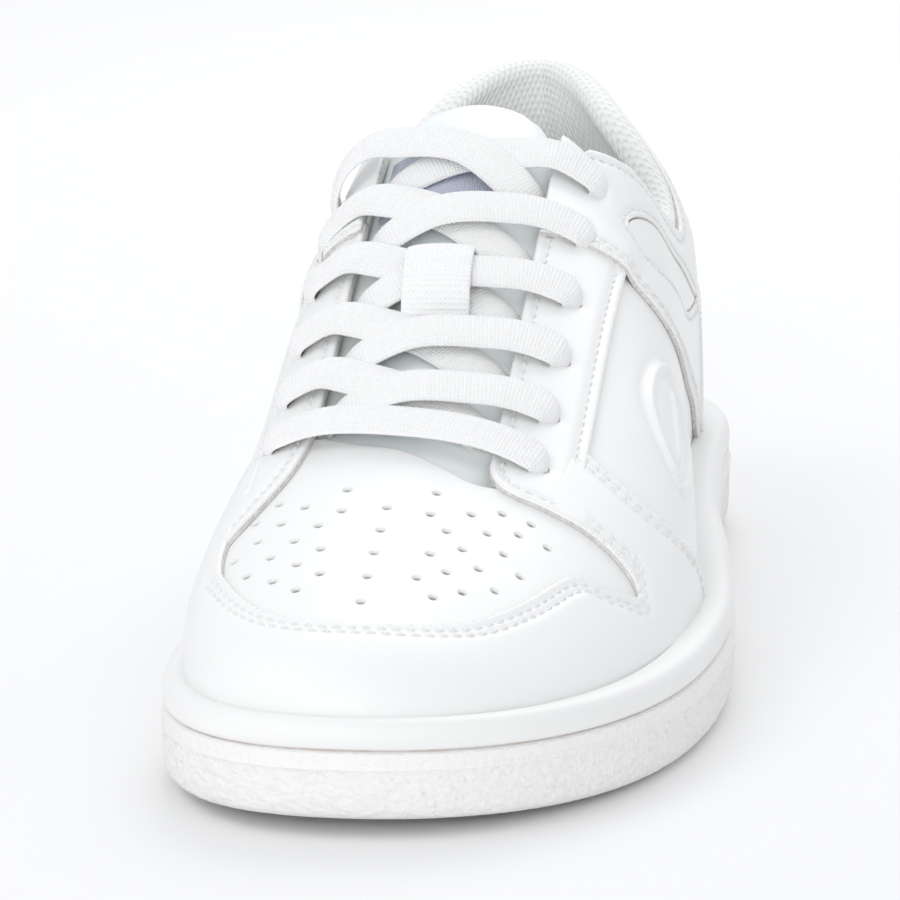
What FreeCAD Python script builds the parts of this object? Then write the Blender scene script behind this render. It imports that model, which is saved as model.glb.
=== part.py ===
"""A left low-top cheer shoe: cup sole, leather upper in separate panels, padded tongue and collar, flat lace.

Lengths are in millimetres.  +X points to the outer (lateral) side, the toe points to -Y, the heel to +Y,
+Z is up, and the origin is on the ground under the middle of the sole.  A "station" is a distance from the
toe tip along the shoe, so y = station - LENGTH / 2.
"""
import FreeCAD, Part
import bisect
import math
import os

Vector = FreeCAD.Vector

# ---- Driving dimensions ----------------------------------------------------------------------------------
LENGTH = 284.0                # toe tip to heel, over the sole
SOLE_BOTTOM = 5.0             # thickness of the outsole under the midsole
CUP_WALL = 4.8                # thickness of the outsole's side wall
TOE_SPRING = 3.0              # how far the toe curls up from the ground
SPRING_STATION = 75.0         # the sole is flat on the ground behind this station
GROOVE_TOE, GROOVE_HEEL = 13.1, 18.3   # height of the groove between side wall and rim, at each end
RIM_HEIGHT = 5.4              # height of the smooth rim above the groove
RIM_WIDTH = 5.2               # from the sole's edge in to the upper
UPPER_INSET = 6.8             # from the sole's edge in to the outer face of the base leather
GAP = 0.2                     # clearance kept between neighbouring layers

# Layers of the upper, as distances out from the outer face of the base leather.
OVERLAY = (0.2, 1.5)
INSERT = (0.2, 0.9)
BASE = (-1.2, 0.0)
STIFFENER = (-2.4, -1.4)
LINING = (-3.4, -2.6)

# Plan outline of the sole: (station, x) along each side, and how each end rounds off
# as (length of the rounded end, power of the superellipse).
CENTRE_LINE = [(0, -11.2), (70, -8.5), (140, -5.0), (284, -6.0)]
LATERAL_EDGE = [(0, 49.3), (95, 49.3), (140, 45.0), (185, 38.5), (233, 35.5), (284, 35.0)]
MEDIAL_EDGE = [(0, -50.7), (50, -50.2), (85, -49.7), (135, -49.2), (175, -48.2), (233, -46.0), (284, -45.0)]
TOE_ROUND = {1: (100.0, 2.2), -1: (60.0, 2.4)}
HEEL_ROUND = (45.0, 2.2)

# The upper: the ridge line over the toes and the laces, and the line up the back of the heel.
RIDGE = [(0, 12), (0.2, 18), (1.2, 23), (4, 27), (10, 30.5), (22, 34), (34, 38), (58, 45), (84, 53), (106, 62),
         (128, 72), (150, 82), (167, 90), (184, 98), (200, 108), (214, 120), (226, 131), (236, 138)]
RIDGE_X = [(0, -11.2), (40, -11.0), (95, -11.0), (150, -10.5), (190, -10.0), (235, -9.0), (284, -9.0)]
HEEL_LINE = [(12, -1.5), (30, 0.5), (45, 0.6), (60, -1.5), (75, -4.5), (90, -7.5), (105, -8.5), (138, -8.5)]
# How square each wall is from front to back (2 is an ellipse), and the share by which it closes in with height.
SQUARENESS = {1: [(0, 2.0), (60, 2.0), (100, 2.7), (140, 3.8), (180, 3.6), (215, 2.6), (284, 2.4)],
              -1: [(0, 4.5), (30, 6.0), (60, 6.0), (100, 6.2), (140, 6.6), (180, 5.6), (215, 4.0), (284, 3.0)]}
PINCH = {1: [(0, 0), (60, 0), (72, 0.08), (80, 0.2), (87, 0.33), (95, 0.42), (138, 0.55)],
         -1: [(0, 0), (66, 0), (75, 0.05), (80, 0.11), (87, 0.22), (95, 0.3), (138, 0.45)]}
PINCH_STATIONS = (185.0, 242.0)     # the walls start to close in over the ankle, and are fully closed in
FOOT_OF_WALL = 12.0           # below this height the walls stand straight up

# Topline: the edge of the foot opening, as (station, height).
TOPLINE = [(150, 100), (183, 92), (190, 89), (200, 83), (210, 76), (218, 70.5), (226, 67.5), (234, 71),
           (242, 79), (249, 85.5), (257, 89), (267, 91.5), (284, 93)]

# Throat: the gap over the tongue between the two eyestays.
THROAT = {1: 5.5, -1: -28.5}              # x of each eyestay's inner edge
EYESTAY_OUTER = {1: 22.0, -1: -40.2}      # x of each eyestay's outer edge
EYELET_X = {1: 14.2, -1: -36.3}
EYELET_STATIONS = {1: [86, 102, 119, 137, 157, 176], -1: [92, 108, 125, 144, 163, 180]}
EYELET_RADIUS = 2.6

# Lining and the collar's padding.
TOP_DROP = 1.2                # the leather's top edge lies this far below the topline
LINING_SPLIT = 128.0          # station where the forefoot's lining meets the quarters'
PAD_HEIGHT = 26.0             # the collar's padding reaches this far below the topline
PAD_CLEAR = PAD_HEIGHT + 1.5  # and the textile lining starts this far below it
PAD_START = 0.36              # the padding starts here around the upper, on both sides

LACE_WIDTH, LACE_THICK = 7.6, 1.2
TONGUE_DROP = 6.6             # from the ridge line down to the top of the tongue
TONGUE_BOW = 12.5             # how far the tongue's edges hang below its middle
SOCKLINER_THICK = 3.6
BOARD_THICK = 2.0
BOARD_INSET, SOCKLINER_INSET = 4.2, 5.6   # from the upper's outer face in to the edges of these two

# Cross grooves of the tread.
TREAD_STATIONS = (62, 74, 86, 98, 110, 122, 206, 218, 230, 242, 254)
TREAD_GROOVE, TREAD_DEPTH = 2.4, 1.6
TREAD_START, TREAD_REACH = -42.0, 72.0    # x where every groove starts, and its length


# ---- Curves ------------------------------------------------------------------------------------------------
def curve(points):
    """A smooth curve through (x, y) points that never overshoots them; flat beyond both ends."""
    xs = [float(p[0]) for p in points]
    ys = [float(p[1]) for p in points]
    steps = [b - a for a, b in zip(xs, xs[1:])]
    slopes = [(d - c) / h for c, d, h in zip(ys, ys[1:], steps)]
    tangents = [slopes[0]] + [0.0] * (len(xs) - 2) + [slopes[-1]]
    for i in range(1, len(xs) - 1):
        if slopes[i - 1] * slopes[i] > 0:
            w1 = 2 * steps[i] + steps[i - 1]
            w2 = steps[i] + 2 * steps[i - 1]
            tangents[i] = (w1 + w2) / (w1 / slopes[i - 1] + w2 / slopes[i])

    def value(x):
        if x <= xs[0]:
            return ys[0]
        if x >= xs[-1]:
            return ys[-1]
        i = bisect.bisect_right(xs, x) - 1
        t = (x - xs[i]) / steps[i]
        ends = ys[i] * (1 + 2 * t) * (1 - t) ** 2 + ys[i + 1] * t * t * (3 - 2 * t)
        return ends + steps[i] * (tangents[i] * t * (1 - t) ** 2 - tangents[i + 1] * t * t * (1 - t))
    return value


centre_line = curve(CENTRE_LINE)
edge_line = {1: curve(LATERAL_EDGE), -1: curve(MEDIAL_EDGE)}
ridge_height = curve([(station + UPPER_INSET, z) for station, z in RIDGE])
ridge_x = curve(RIDGE_X)
heel_line = curve(HEEL_LINE)
squareness = {side: curve(SQUARENESS[side]) for side in (1, -1)}
pinch = {side: curve(PINCH[side]) for side in (1, -1)}
topline = curve(TOPLINE)


def toe_spring(station):
    return TOE_SPRING * max(0.0, 1 - station / SPRING_STATION) ** 2


def groove_height(station):
    return toe_spring(station) + GROOVE_TOE + (GROOVE_HEEL - GROOVE_TOE) * station / LENGTH


def upper_floor(station):
    """Height of the upper's bottom edge, hidden behind the rim."""
    return groove_height(station) - 2.6


# ---- Form of the sole outline and of the upper ---------------------------------------------------------------
def rounding(distance, length, power):
    """1 away from an end, falling to 0 at the end as a superellipse."""
    if distance >= length:
        return 1.0
    return (1 - (1 - max(distance, 0.0) / length) ** power) ** (1 / power)


def plan_x(station, side, inset=0.0):
    """x of the sole's plan outline, moved in by an inset."""
    centre = centre_line(station)
    half = abs(edge_line[side](station) - centre) - inset
    toe = rounding(station - inset, *TOE_ROUND[side])
    heel = rounding(LENGTH - inset - station, *HEEL_ROUND)
    return centre + side * half * toe * heel


def closed_in(x, station, side, z):
    """x after the walls close in over the ankle."""
    t = min(max((station - PINCH_STATIONS[0]) / (PINCH_STATIONS[1] - PINCH_STATIONS[0]), 0.0), 1.0)
    middle = ridge_x(station)
    return middle + (x - middle) * (1 - pinch[side](z) * t * t * (3 - 2 * t))


def wall_x(station, side, z, plan_station):
    """x of the upper's outer face at one station and height."""
    top = ridge_height(station)
    middle = ridge_x(station)
    foot = plan_x(plan_station, side, UPPER_INSET)
    if z <= FOOT_OF_WALL:
        return foot
    depth = min(max((top - z) / max(top - FOOT_OF_WALL, 1e-6), 0.0), 1.0)
    spread = math.sqrt(1 - (1 - depth) ** squareness[side](station))
    return closed_in(middle + (foot - middle) * spread, station, side, z)


def nose_station(z):
    """The station where the ridge line reaches a height."""
    low, high = UPPER_INSET, LENGTH
    if ridge_height(low + 1e-3) >= z:
        return low
    for _ in range(40):
        middle = (low + high) / 2
        low, high = (middle, high) if ridge_height(middle) < z else (low, middle)
    return (low + high) / 2


SLICE_STEP = 2.0
SLICE_LOW = 8.0
SLICE_COUNT = 57
SLICE_POINTS = 97
HEEL_STRETCH = 200.0          # behind this station the plan outline follows the heel line


def half_slice(z, side):
    """Points of the upper's outer face at one height, evenly spaced from the nose to the heel's middle."""
    front = nose_station(z)
    back = LENGTH - UPPER_INSET + heel_line(z)
    raw = []
    for i in range(61):
        station = front + (back - front) * (1 - math.cos(math.pi * i / 60)) / 2
        plan_station = station
        if station > HEEL_STRETCH:
            scale = (LENGTH - UPPER_INSET - HEEL_STRETCH) / (back - HEEL_STRETCH)
            plan_station = HEEL_STRETCH + (station - HEEL_STRETCH) * scale
        x = wall_x(station, side, z, plan_station)
        if i == 0:
            x = ridge_x(station)
        raw.append((x, station))
    lengths = [0.0]
    for (x0, s0), (x1, s1) in zip(raw, raw[1:]):
        lengths.append(lengths[-1] + math.hypot(x1 - x0, s1 - s0))
    points = []
    j = 0
    for i in range(SLICE_POINTS):
        target = lengths[-1] * i / (SLICE_POINTS - 1)
        while j < len(lengths) - 2 and lengths[j + 1] < target:
            j += 1
        t = (target - lengths[j]) / max(lengths[j + 1] - lengths[j], 1e-9)
        points.append(tuple(a + (b - a) * t for a, b in zip(raw[j], raw[j + 1])))
    return points


slices = {side: [half_slice(SLICE_LOW + SLICE_STEP * i, side) for i in range(SLICE_COUNT)] for side in (1, -1)}


def skin_point(around, z):
    """A point (x, station, z) of the upper's outer face.

    around is 0 at the nose, grows to 1 at the middle of the heel along the lateral side, and falls to -1
    there along the medial side; values past 1 carry on around the heel.
    """
    around = (around + 1) % 2 - 1 if abs(around) > 1 else around
    side = 1 if around >= 0 else -1
    row = min(max((z - SLICE_LOW) / SLICE_STEP, 1), SLICE_COUNT - 3)
    i = int(row)
    t = row - i
    column = abs(around) * (SLICE_POINTS - 1)
    j = min(int(column), SLICE_POINTS - 2)
    f = column - j
    weights = (-t * (1 - t) ** 2 / 2, (2 - 5 * t * t + 3 * t ** 3) / 2,
               (t + 4 * t * t - 3 * t ** 3) / 2, -t * t * (1 - t) / 2)
    x = station = 0.0
    for k, weight in enumerate(weights):
        a, b = slices[side][i - 1 + k][j], slices[side][i - 1 + k][j + 1]
        x += weight * (a[0] + (b[0] - a[0]) * f)
        station += weight * (a[1] + (b[1] - a[1]) * f)
    return x, station, z


def place(x, station, z):
    return Vector(x, station - LENGTH / 2, z)


def skin_at(around, z, offset):
    """A point a given distance out from the upper's outer face."""
    da, dz = 0.015, 1.5
    along = place(*skin_point(around + da, z)) - place(*skin_point(around - da, z))
    up = place(*skin_point(around, z + dz)) - place(*skin_point(around, z - dz))
    normal = along.cross(up)
    normal.normalize()
    return place(*skin_point(around, z)) + normal * offset


def topline_at(around):
    """Height of the topline at one position around the upper."""
    low, high = 40.0, 100.0
    for _ in range(24):
        z = (low + high) / 2
        low, high = (z, high) if topline(skin_point(around, z)[1]) > z else (low, z)
    return low


def cover_height(x, station):
    """Height of the upper's outer face above a point of the plan, over the forefoot and the throat."""
    side = 1 if x >= ridge_x(station) else -1
    top = ridge_height(station)
    middle = ridge_x(station)
    foot = plan_x(station, side, UPPER_INSET)
    flat_x = x
    z = top
    for _ in range(6):
        spread = min(abs((flat_x - middle) / (foot - middle)), 0.999)
        z = top - (1 - (1 - spread ** 2) ** (1 / squareness[side](station))) * (top - FOOT_OF_WALL)
        flat_x += x - closed_in(flat_x, station, side, z)
    return z


def cover_at(x, station, offset):
    """A point a given distance out from the upper, above a point of the plan."""
    d = 1.0
    slope_x = (cover_height(x + d, station) - cover_height(x - d, station)) / (2 * d)
    slope_y = (cover_height(x, station + d) - cover_height(x, station - d)) / (2 * d)
    normal = Vector(-slope_x, -slope_y, 1)
    normal.normalize()
    return place(x, station, cover_height(x, station)) + normal * offset


# ---- Solids ----------------------------------------------------------------------------------------------------
def surface(rows):
    sheet = Part.BSplineSurface()
    sheet.interpolate(rows)
    return sheet


def thick_sheet(outer_rows, inner_rows):
    """A closed solid between two sheets of points that have the same layout."""
    outer, inner = surface(outer_rows), surface(inner_rows)
    faces = [outer.toShape(), inner.toShape()]
    u0, u1, v0, v1 = outer.bounds()
    p0, p1, q0, q1 = inner.bounds()
    for a, b in ((outer.uIso(u0), inner.uIso(p0)), (outer.uIso(u1), inner.uIso(p1)),
                 (outer.vIso(v0), inner.vIso(q0)), (outer.vIso(v1), inner.vIso(q1))):
        faces.append(Part.makeRuledSurface(a.toShape(), b.toShape(), 1))
    shell = Part.makeShell(faces)
    shell.sewShape()
    solid = Part.makeSolid(shell)
    if solid.Volume < 0:
        solid.reverse()
    return solid


def spread(low, high, count):
    return [low + (high - low) * i / (count - 1) for i in range(count)]


def skin(layer, start, stop, low=10.0, high=104.0, columns=49, rows=25):
    """A layer of the upper between two positions around it."""
    sheets = []
    for offset in (layer[1], layer[0]):
        sheets.append([[skin_at(a, z, offset) for z in spread(low, high, rows)] for a in spread(start, stop, columns)])
    return thick_sheet(*sheets)


def outline_face(runs, to_vector):
    """A flat face from runs of points: two points make a line, more make a smooth curve."""
    edges = []
    for run in runs:
        points = [to_vector(*p) for p in run]
        if len(points) == 2:
            edges.append(Part.makeLine(*points))
        else:
            path = Part.BSplineCurve()
            path.interpolate(points)
            edges.append(path.toShape())
    first, last = to_vector(*runs[0][0]), to_vector(*runs[-1][-1])
    if first.distanceToPoint(last) > 1e-6:
        edges.append(Part.makeLine(last, first))
    return Part.Face(Part.Wire(edges))


def side_prism(runs, x_low=-90.0, x_high=90.0):
    """An outline drawn in side view as (station, height), run across the shoe."""
    face = outline_face(runs, lambda station, z: place(x_low, station, z))
    return face.extrude(Vector(x_high - x_low, 0, 0))


def top_prism(runs, z_low=0.0, z_high=130.0):
    """An outline drawn in plan as (x, station), run upwards."""
    face = outline_face(runs, lambda x, station: place(x, station, z_low))
    return face.extrude(Vector(0, 0, z_high - z_low))


def band(low, high, front=-5.0, back=LENGTH + 5.0):
    """Everything between two height functions that curve over the toe spring and are straight behind it."""
    stations = spread(front, SPRING_STATION, 11)
    lower = [(s, low(s)) for s in stations]
    upper = [(s, high(s)) for s in reversed(stations)]
    lower_end, upper_end = (back, low(back)), (back, high(back))
    return side_prism([lower, [lower[-1], lower_end], [lower_end, upper_end], [upper_end, upper[0]], upper,
                       [upper[-1], lower[0]]])


def plan_loop(inset, count=36):
    """The sole's plan outline as a closed loop of (x, station)."""
    stations = [inset + (LENGTH - 2 * inset) * (1 - math.cos(math.pi * i / (count - 1))) / 2 for i in range(count)]
    lateral = [(plan_x(s, 1, inset), s) for s in stations]
    medial = [(plan_x(s, -1, inset), s) for s in reversed(stations)]
    return lateral + medial[1:-1]


def loop_prism(loop, z_low, z_high):
    path = Part.BSplineCurve()
    path.interpolate([place(x, s, z_low) for x, s in loop], True)
    return Part.Face(Part.Wire(path.toShape())).extrude(Vector(0, 0, z_high - z_low))


BLOCK_LOW, BLOCK_TOP = -6.0, 45.0     # heights that every part of the sole lies between


def sole_block(inset, low, high):
    return loop_prism(plan_loop(inset), BLOCK_LOW, BLOCK_TOP).common(band(low, high))


def single(shape):
    """The biggest solid of a result, which drops slivers."""
    return max(shape.Solids, key=lambda solid: solid.Volume)


# ---- Sole ------------------------------------------------------------------------------------------------------
def make_outsole():
    """Rubber cup: bottom, side wall, and cross grooves in the tread."""
    sole = sole_block(0.0, toe_spring, groove_height)
    pocket = sole_block(CUP_WALL, lambda s: toe_spring(s) + SOLE_BOTTOM, lambda s: BLOCK_TOP)
    sole = sole.cut(pocket)
    for station in TREAD_STATIONS:
        slot = Part.makeBox(TREAD_REACH, TREAD_GROOVE, TREAD_DEPTH + 1.0)
        slot.translate(Vector(TREAD_START, station - LENGTH / 2 - TREAD_GROOVE / 2, -1.0))
        sole = sole.cut(slot)
    return single(sole)


def make_foxing_band():
    ring = sole_block(0.0, lambda s: groove_height(s) + GAP, lambda s: groove_height(s) + RIM_HEIGHT)
    return single(ring.cut(loop_prism(plan_loop(RIM_WIDTH), BLOCK_LOW, BLOCK_TOP)))


def make_midsole():
    return single(sole_block(CUP_WALL + GAP, lambda s: toe_spring(s) + SOLE_BOTTOM + GAP,
                             lambda s: upper_floor(s) - GAP))


def foot_loop(z, inset, count=32):
    """The inside of the upper at one height as a closed loop, moved in by an inset."""
    loop = []
    for i in range(2 * count):
        around = -1 + i / count
        point = skin_at(around, z, -inset)
        loop.append((point.x, point.y + LENGTH / 2))
    return loop


def make_board():
    block = loop_prism(foot_loop(18.0, BOARD_INSET), BLOCK_LOW, BLOCK_TOP)
    return single(block.common(band(upper_floor, lambda s: upper_floor(s) + BOARD_THICK)))


def sockliner_floor(station):
    return upper_floor(station) + BOARD_THICK + GAP


def make_sockliner():
    block = loop_prism(foot_loop(28.0, SOCKLINER_INSET), BLOCK_LOW, BLOCK_TOP)
    return single(block.common(band(sockliner_floor, lambda s: sockliner_floor(s) + SOCKLINER_THICK)))


# ---- Cutters shared by the panels --------------------------------------------------------------------------------
REAR = LENGTH + 20.0
TOPLINE_STATIONS = (183, 190, 197, 204, 211, 218, 226, 234, 242, 249, 257, 267, 284)


def topline_run(drop):
    """The topline from the tongue to the heel, lowered by a drop, as side-view points."""
    return [(s, topline(s) - drop) for s in TOPLINE_STATIONS]


def below_topline(drop, front):
    """Everything behind a front station and under the lowered topline."""
    run = topline_run(drop)
    front_top = (front, run[0][1])
    return side_prism([[front_top, run[0]], run, [run[-1], (REAR, run[-1][1])],
                       [(REAR, run[-1][1]), (REAR, upper_floor(REAR))],
                       [(REAR, upper_floor(REAR)), (front, upper_floor(front))]])


def throat_opening(grow=0.0, front_lateral=75.0):
    """The open throat in plan: an arch at the front, straight edges behind."""
    left, right = THROAT[-1] - grow, THROAT[1] + grow
    arch = [(left, 91.0 - grow), (-20.0, 87.5 - grow), (-12.0, 85.0 - grow), (-3.0, 80.0 - grow),
            (right, front_lateral - grow)]
    return top_prism([arch, [(right, front_lateral - grow), (right, 300.0)], [(right, 300.0), (left, 300.0)]])


SEAM_X = -9.0                 # x of the back seam and of the ridge over the ankle
FAR_OUT = 90.0                # beyond the shoe on either side


def half_plan(side, inner, front=0.0):
    """One side of the shoe in plan: outside the throat's edge in front, outside the back seam behind."""
    far = side * FAR_OUT
    return top_prism([[(inner, front), (far, front)], [(far, front), (far, REAR)], [(far, REAR), (SEAM_X, REAR)],
                      [(SEAM_X, REAR), (SEAM_X, 196)], [(SEAM_X, 196), (inner, 190)]])


VAMP_END = 89.0               # the vamp ends here, under the eyestays and the toe cap


def pad_front(side):
    """Side-view points just in front of the collar's padding, from over the topline downwards."""
    turn = PAD_START - 0.015
    top = topline_at(turn)
    return [skin_point(side * turn, z)[1:] for z in spread(top + 6, top - PAD_CLEAR, 7)]


def before_pad(side):
    """Everything in front of the collar's padding."""
    line = pad_front(side)
    over, under = (line[0][0], 130.0), (line[-1][0] + 6.0, 0.0)
    return side_prism([[(0.0, 0.0), (0.0, over[1])], [(0.0, over[1]), over], [over, line[0]], line,
                       [line[-1], under], [under, (0.0, 0.0)]])


# ---- Panels of the upper -------------------------------------------------------------------------------------------
def make_vamp():
    front = side_prism([[(-20, upper_floor(-20)), (VAMP_END, upper_floor(VAMP_END))],
                        [(VAMP_END, upper_floor(VAMP_END)), (VAMP_END, 70)], [(VAMP_END, 70), (-20, 70)]])
    vamp = skin(BASE, -0.62, 0.62, high=62.0, columns=61).common(front)
    return single(vamp.cut(throat_opening()))


def make_toe_cap():
    """The overlay around the toe, with a wing up each side to the quarters."""
    floor_front, floor_back = upper_floor(-20), upper_floor(108)
    seam = [(108, floor_back), (100, 29.5), (94, 36), (93.5, 42.8), (97, 49)]
    side = side_prism([[(-20, floor_front), (108, floor_back)], seam, [(97, 49), (97, 70)], [(97, 70), (-20, 70)]])
    lateral, medial = EYESTAY_OUTER[1] + 0.4, EYESTAY_OUTER[-1] - 0.4
    edge = [(24.5, 59.3), (21.5, 55), (17.7, 45), (13.0, 37), (6.0, 29), (-3.0, 24.5), (-12.0, 23.2),
            (-20.0, 24.5), (-27.0, 28), (-33.5, 36), (-38.0, 46)]
    window = top_prism([[(lateral, 120), (lateral, 73.5)], [(lateral, 73.5), (33.5, 71.5)],
                        [(33.5, 71.5), (35.0, 68.0)], [(35.0, 68.0), (28.5, 61.0)], [(28.5, 61.0), (24.5, 59.3)],
                        edge, [(-38.0, 46), (medial, 56)], [(medial, 56), (medial, 120)]])
    return single(skin(OVERLAY, -0.66, 0.66, high=62.0, columns=65).common(side).cut(window))


def make_quarter(side):
    """Base leather of one side, from under the toe cap to the back seam and up to the throat."""
    keep = half_plan(side, THROAT[side] + side * 0.6)
    start, stop = (0.02, 0.994) if side > 0 else (-0.994, -0.02)
    body = skin(BASE, start, stop, columns=49, rows=31)
    return single(body.common(below_topline(TOP_DROP, VAMP_END + 0.6)).common(keep))


def eyelet_hole(side, station):
    middle = cover_at(EYELET_X[side], station, 0.0)
    outside = cover_at(EYELET_X[side], station, 6.0)
    axis = outside - middle
    return Part.makeCylinder(EYELET_RADIUS, 12.0, middle - axis, axis)


def pierce(shape, side):
    for station in EYELET_STATIONS[side]:
        shape = shape.cut(eyelet_hole(side, station))
    return single(shape)


PANEL_FRONT = 155.0           # the collar panels cover the eyestays behind this station


def make_eyestay(side):
    inner, outer = THROAT[side], EYESTAY_OUTER[side]
    end = PANEL_FRONT - 0.6
    if side > 0:
        runs = [[(inner, end), (inner, 79.5)], [(inner, 79.5), (9.0, 74)], [(9.0, 74), (outer, 73.8)],
                [(outer, 73.8), (outer, end)]]
    else:
        runs = [[(inner, end), (inner, 96)], [(inner, 96), (-28.5, 86), (-31.0, 76), (-38.0, 60)],
                [(-38.0, 60), (outer, 57)], [(outer, 57), (outer, end)]]
    start, stop = (0.02, 0.62) if side > 0 else (-0.62, -0.02)
    return pierce(skin(OVERLAY, start, stop, low=30.0, high=96.0, rows=25).common(top_prism(runs)), side)


def make_eyelet_reinforcement(side):
    """Fabric strip behind the eyelets."""
    inner, outer = THROAT[side] + side * 1.6, EYESTAY_OUTER[side] - side * 1.5
    runs = [[(inner, 84), (outer, 84)], [(outer, 84), (outer, 183)], [(outer, 183), (inner, 183)]]
    start, stop = (0.02, 0.62) if side > 0 else (-0.62, -0.02)
    strip = skin(STIFFENER, start, stop, low=30.0, high=98.0, rows=25).common(top_prism(runs))
    return pierce(strip.common(before_pad(side)), side)


HEEL_TAB_FRONT = 262.0
FOXING_FRONT = 236.0
FOXING_TOP = 56.0


def leaf_runs(grow):
    """Leaf-shaped window of the collar panel, in side view."""
    return [[(171 - grow, 74), (176, 77.5 + grow), (188, 75.5 + grow), (203, 66 + grow), (220, 55.5 + grow),
             (240, 51)],
            [(240, 51), (222, 48.5 - grow), (205, 54 - grow), (188, 63 - grow), (176, 69 - grow), (171 - grow, 74)]]


def make_collar_panel(side):
    """Panel around the ankle: carries the top two eyelets and sweeps down towards the heel."""
    run = topline_run(TOP_DROP)
    arc = [(152, 79), (156, 72), (158, 65), (163, 57), (177, 49), (195, 42), (214, 35), (228, 27)]
    foot = (233, upper_floor(233))
    outline = side_prism([[(150, 104), (150, 84)], [(150, 84), (152, 79)], arc, [arc[-1], foot],
                          [foot, (FOXING_FRONT, foot[1])], [(FOXING_FRONT, foot[1]), (FOXING_FRONT, 50)],
                          [(FOXING_FRONT, 50), (HEEL_TAB_FRONT, FOXING_TOP)],
                          [(HEEL_TAB_FRONT, FOXING_TOP), (HEEL_TAB_FRONT, topline(HEEL_TAB_FRONT) - TOP_DROP)],
                          [(HEEL_TAB_FRONT, topline(HEEL_TAB_FRONT) - TOP_DROP)] +
                          [p for p in reversed(run) if p[0] < HEEL_TAB_FRONT - 2],
                          [run[0], (176, 98)], [(176, 98), (150, 104)]])
    keep = half_plan(side, THROAT[side], PANEL_FRONT)
    start, stop = (0.02, 0.99) if side > 0 else (-0.99, -0.02)
    panel = skin(OVERLAY, start, stop, columns=49, rows=33).common(outline).common(keep)
    leaf = side_prism(leaf_runs(0.3), *((-5, 90) if side > 0 else (-90, -14)))
    return pierce(panel.cut(leaf), side)


def make_collar_insert(side):
    leaf = side_prism(leaf_runs(0.0), *((-5, 90) if side > 0 else (-90, -14)))
    start, stop = (0.2, 0.97) if side > 0 else (-0.97, -0.2)
    return single(skin(INSERT, start, stop, low=34.0, high=92.0, rows=25).common(leaf))


def make_heel_foxing():
    """Overlay around the bottom of the heel."""
    front = FOXING_FRONT + 0.5
    outline = side_prism([[(front, upper_floor(front)), (front, 49.5)], [(front, 49.5), (HEEL_TAB_FRONT, 55.5)],
                          [(HEEL_TAB_FRONT, 55.5), (REAR, 57)], [(REAR, 57), (REAR, upper_floor(REAR))]])
    return single(skin(OVERLAY, 0.6, 1.4, high=64.0, columns=41, rows=17).common(outline))


def make_heel_tab():
    """Overlay up the back seam."""
    front = HEEL_TAB_FRONT + 0.5
    top = topline(REAR) - TOP_DROP
    outline = side_prism([[(front, 56.3), (REAR, 57.8)], [(REAR, 57.8), (REAR, top)],
                          [(REAR, top), (front, topline(front) - TOP_DROP)]])
    return single(skin(OVERLAY, 0.7, 1.3, low=48.0, columns=33, rows=21).common(outline))


def make_toe_puff():
    """Stiffener that keeps the toe's shape."""
    keep = side_prism([[(-20, upper_floor(-20)), (58, upper_floor(58))], [(58, upper_floor(58)), (46, 60)],
                       [(46, 60), (-20, 60)]])
    return single(skin(STIFFENER, -0.4, 0.4, high=56.0, columns=41, rows=21).common(keep))


def make_heel_counter():
    """Stiffener around the heel."""
    keep = side_prism([[(214, upper_floor(214)), (236, 55)], [(236, 55), (REAR, 60)],
                       [(REAR, 60), (REAR, upper_floor(REAR))]])
    return single(skin(STIFFENER, 0.6, 1.4, high=68.0, columns=41, rows=17).common(keep))




def make_forefoot_lining():
    keep = side_prism([[(-20, upper_floor(-20)), (LINING_SPLIT, upper_floor(LINING_SPLIT))],
                       [(LINING_SPLIT, upper_floor(LINING_SPLIT)), (LINING_SPLIT, 90)],
                       [(LINING_SPLIT, 90), (-20, 90)]])
    lining = skin(LINING, -0.72, 0.72, high=80.0, columns=61, rows=29).common(keep)
    lining = lining.cut(throat_opening(0.5))
    for side in (1, -1):
        lining = pierce(lining, side)
    return lining


def make_quarter_lining(side):
    """Textile lining of one side, in front of and under the padded collar."""
    front = LINING_SPLIT + 0.6
    line = pad_front(side)
    pad_foot = []
    for around in spread(PAD_START, 1.0, 13):
        pad_foot.append(skin_point(side * around, topline_at(side * around) - PAD_CLEAR)[1:])
    pad_foot[0] = line[-1]
    end = (REAR, pad_foot[-1][1])
    keep = side_prism([[(front, upper_floor(front)), (front, 98)], [(front, 98), line[0]], line, pad_foot,
                       [pad_foot[-1], end], [end, (REAR, upper_floor(REAR))]])
    half = half_plan(side, THROAT[side] + side * 0.6)
    start, stop = (0.02, 0.99) if side > 0 else (-0.99, -0.02)
    lining = skin(LINING, start, stop, columns=49, rows=31).common(below_topline(TOP_DROP, 100.0))
    return pierce(lining.common(keep).common(half), side)


# ---- Padded collar --------------------------------------------------------------------------------------------------
PAD_BULGE = 4.2               # how far the padding stands in, half way up
ROLL = 2.6                    # radius of the roll that stands above the topline
ROLL_START = 0.7              # share of the lining's profile that lies inside the shoe
FOAM_EASE = 0.7               # more room in front of the foam, as the padding thins at its ends
PAD_FADE = 0.12               # the padding thins out over this length around, at both of its ends
LINING_THICK, FOAM_DEPTH = 0.7, 1.1    # the collar lining, and how far under its face the foam starts


def lining_profile(t):
    """Collar lining in section, from inside bottom (0) over the roll to outside (1): rise from topline, offset."""
    if t < ROLL_START:
        q = t / ROLL_START
        return -PAD_HEIGHT * (1 - q), -3.2 - ROLL * q - PAD_BULGE * math.sin(math.pi * q) ** 2
    turn = math.pi * (t - ROLL_START) / (1 - ROLL_START)
    return ROLL * math.sin(turn), -3.2 - ROLL * math.cos(turn)


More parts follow.
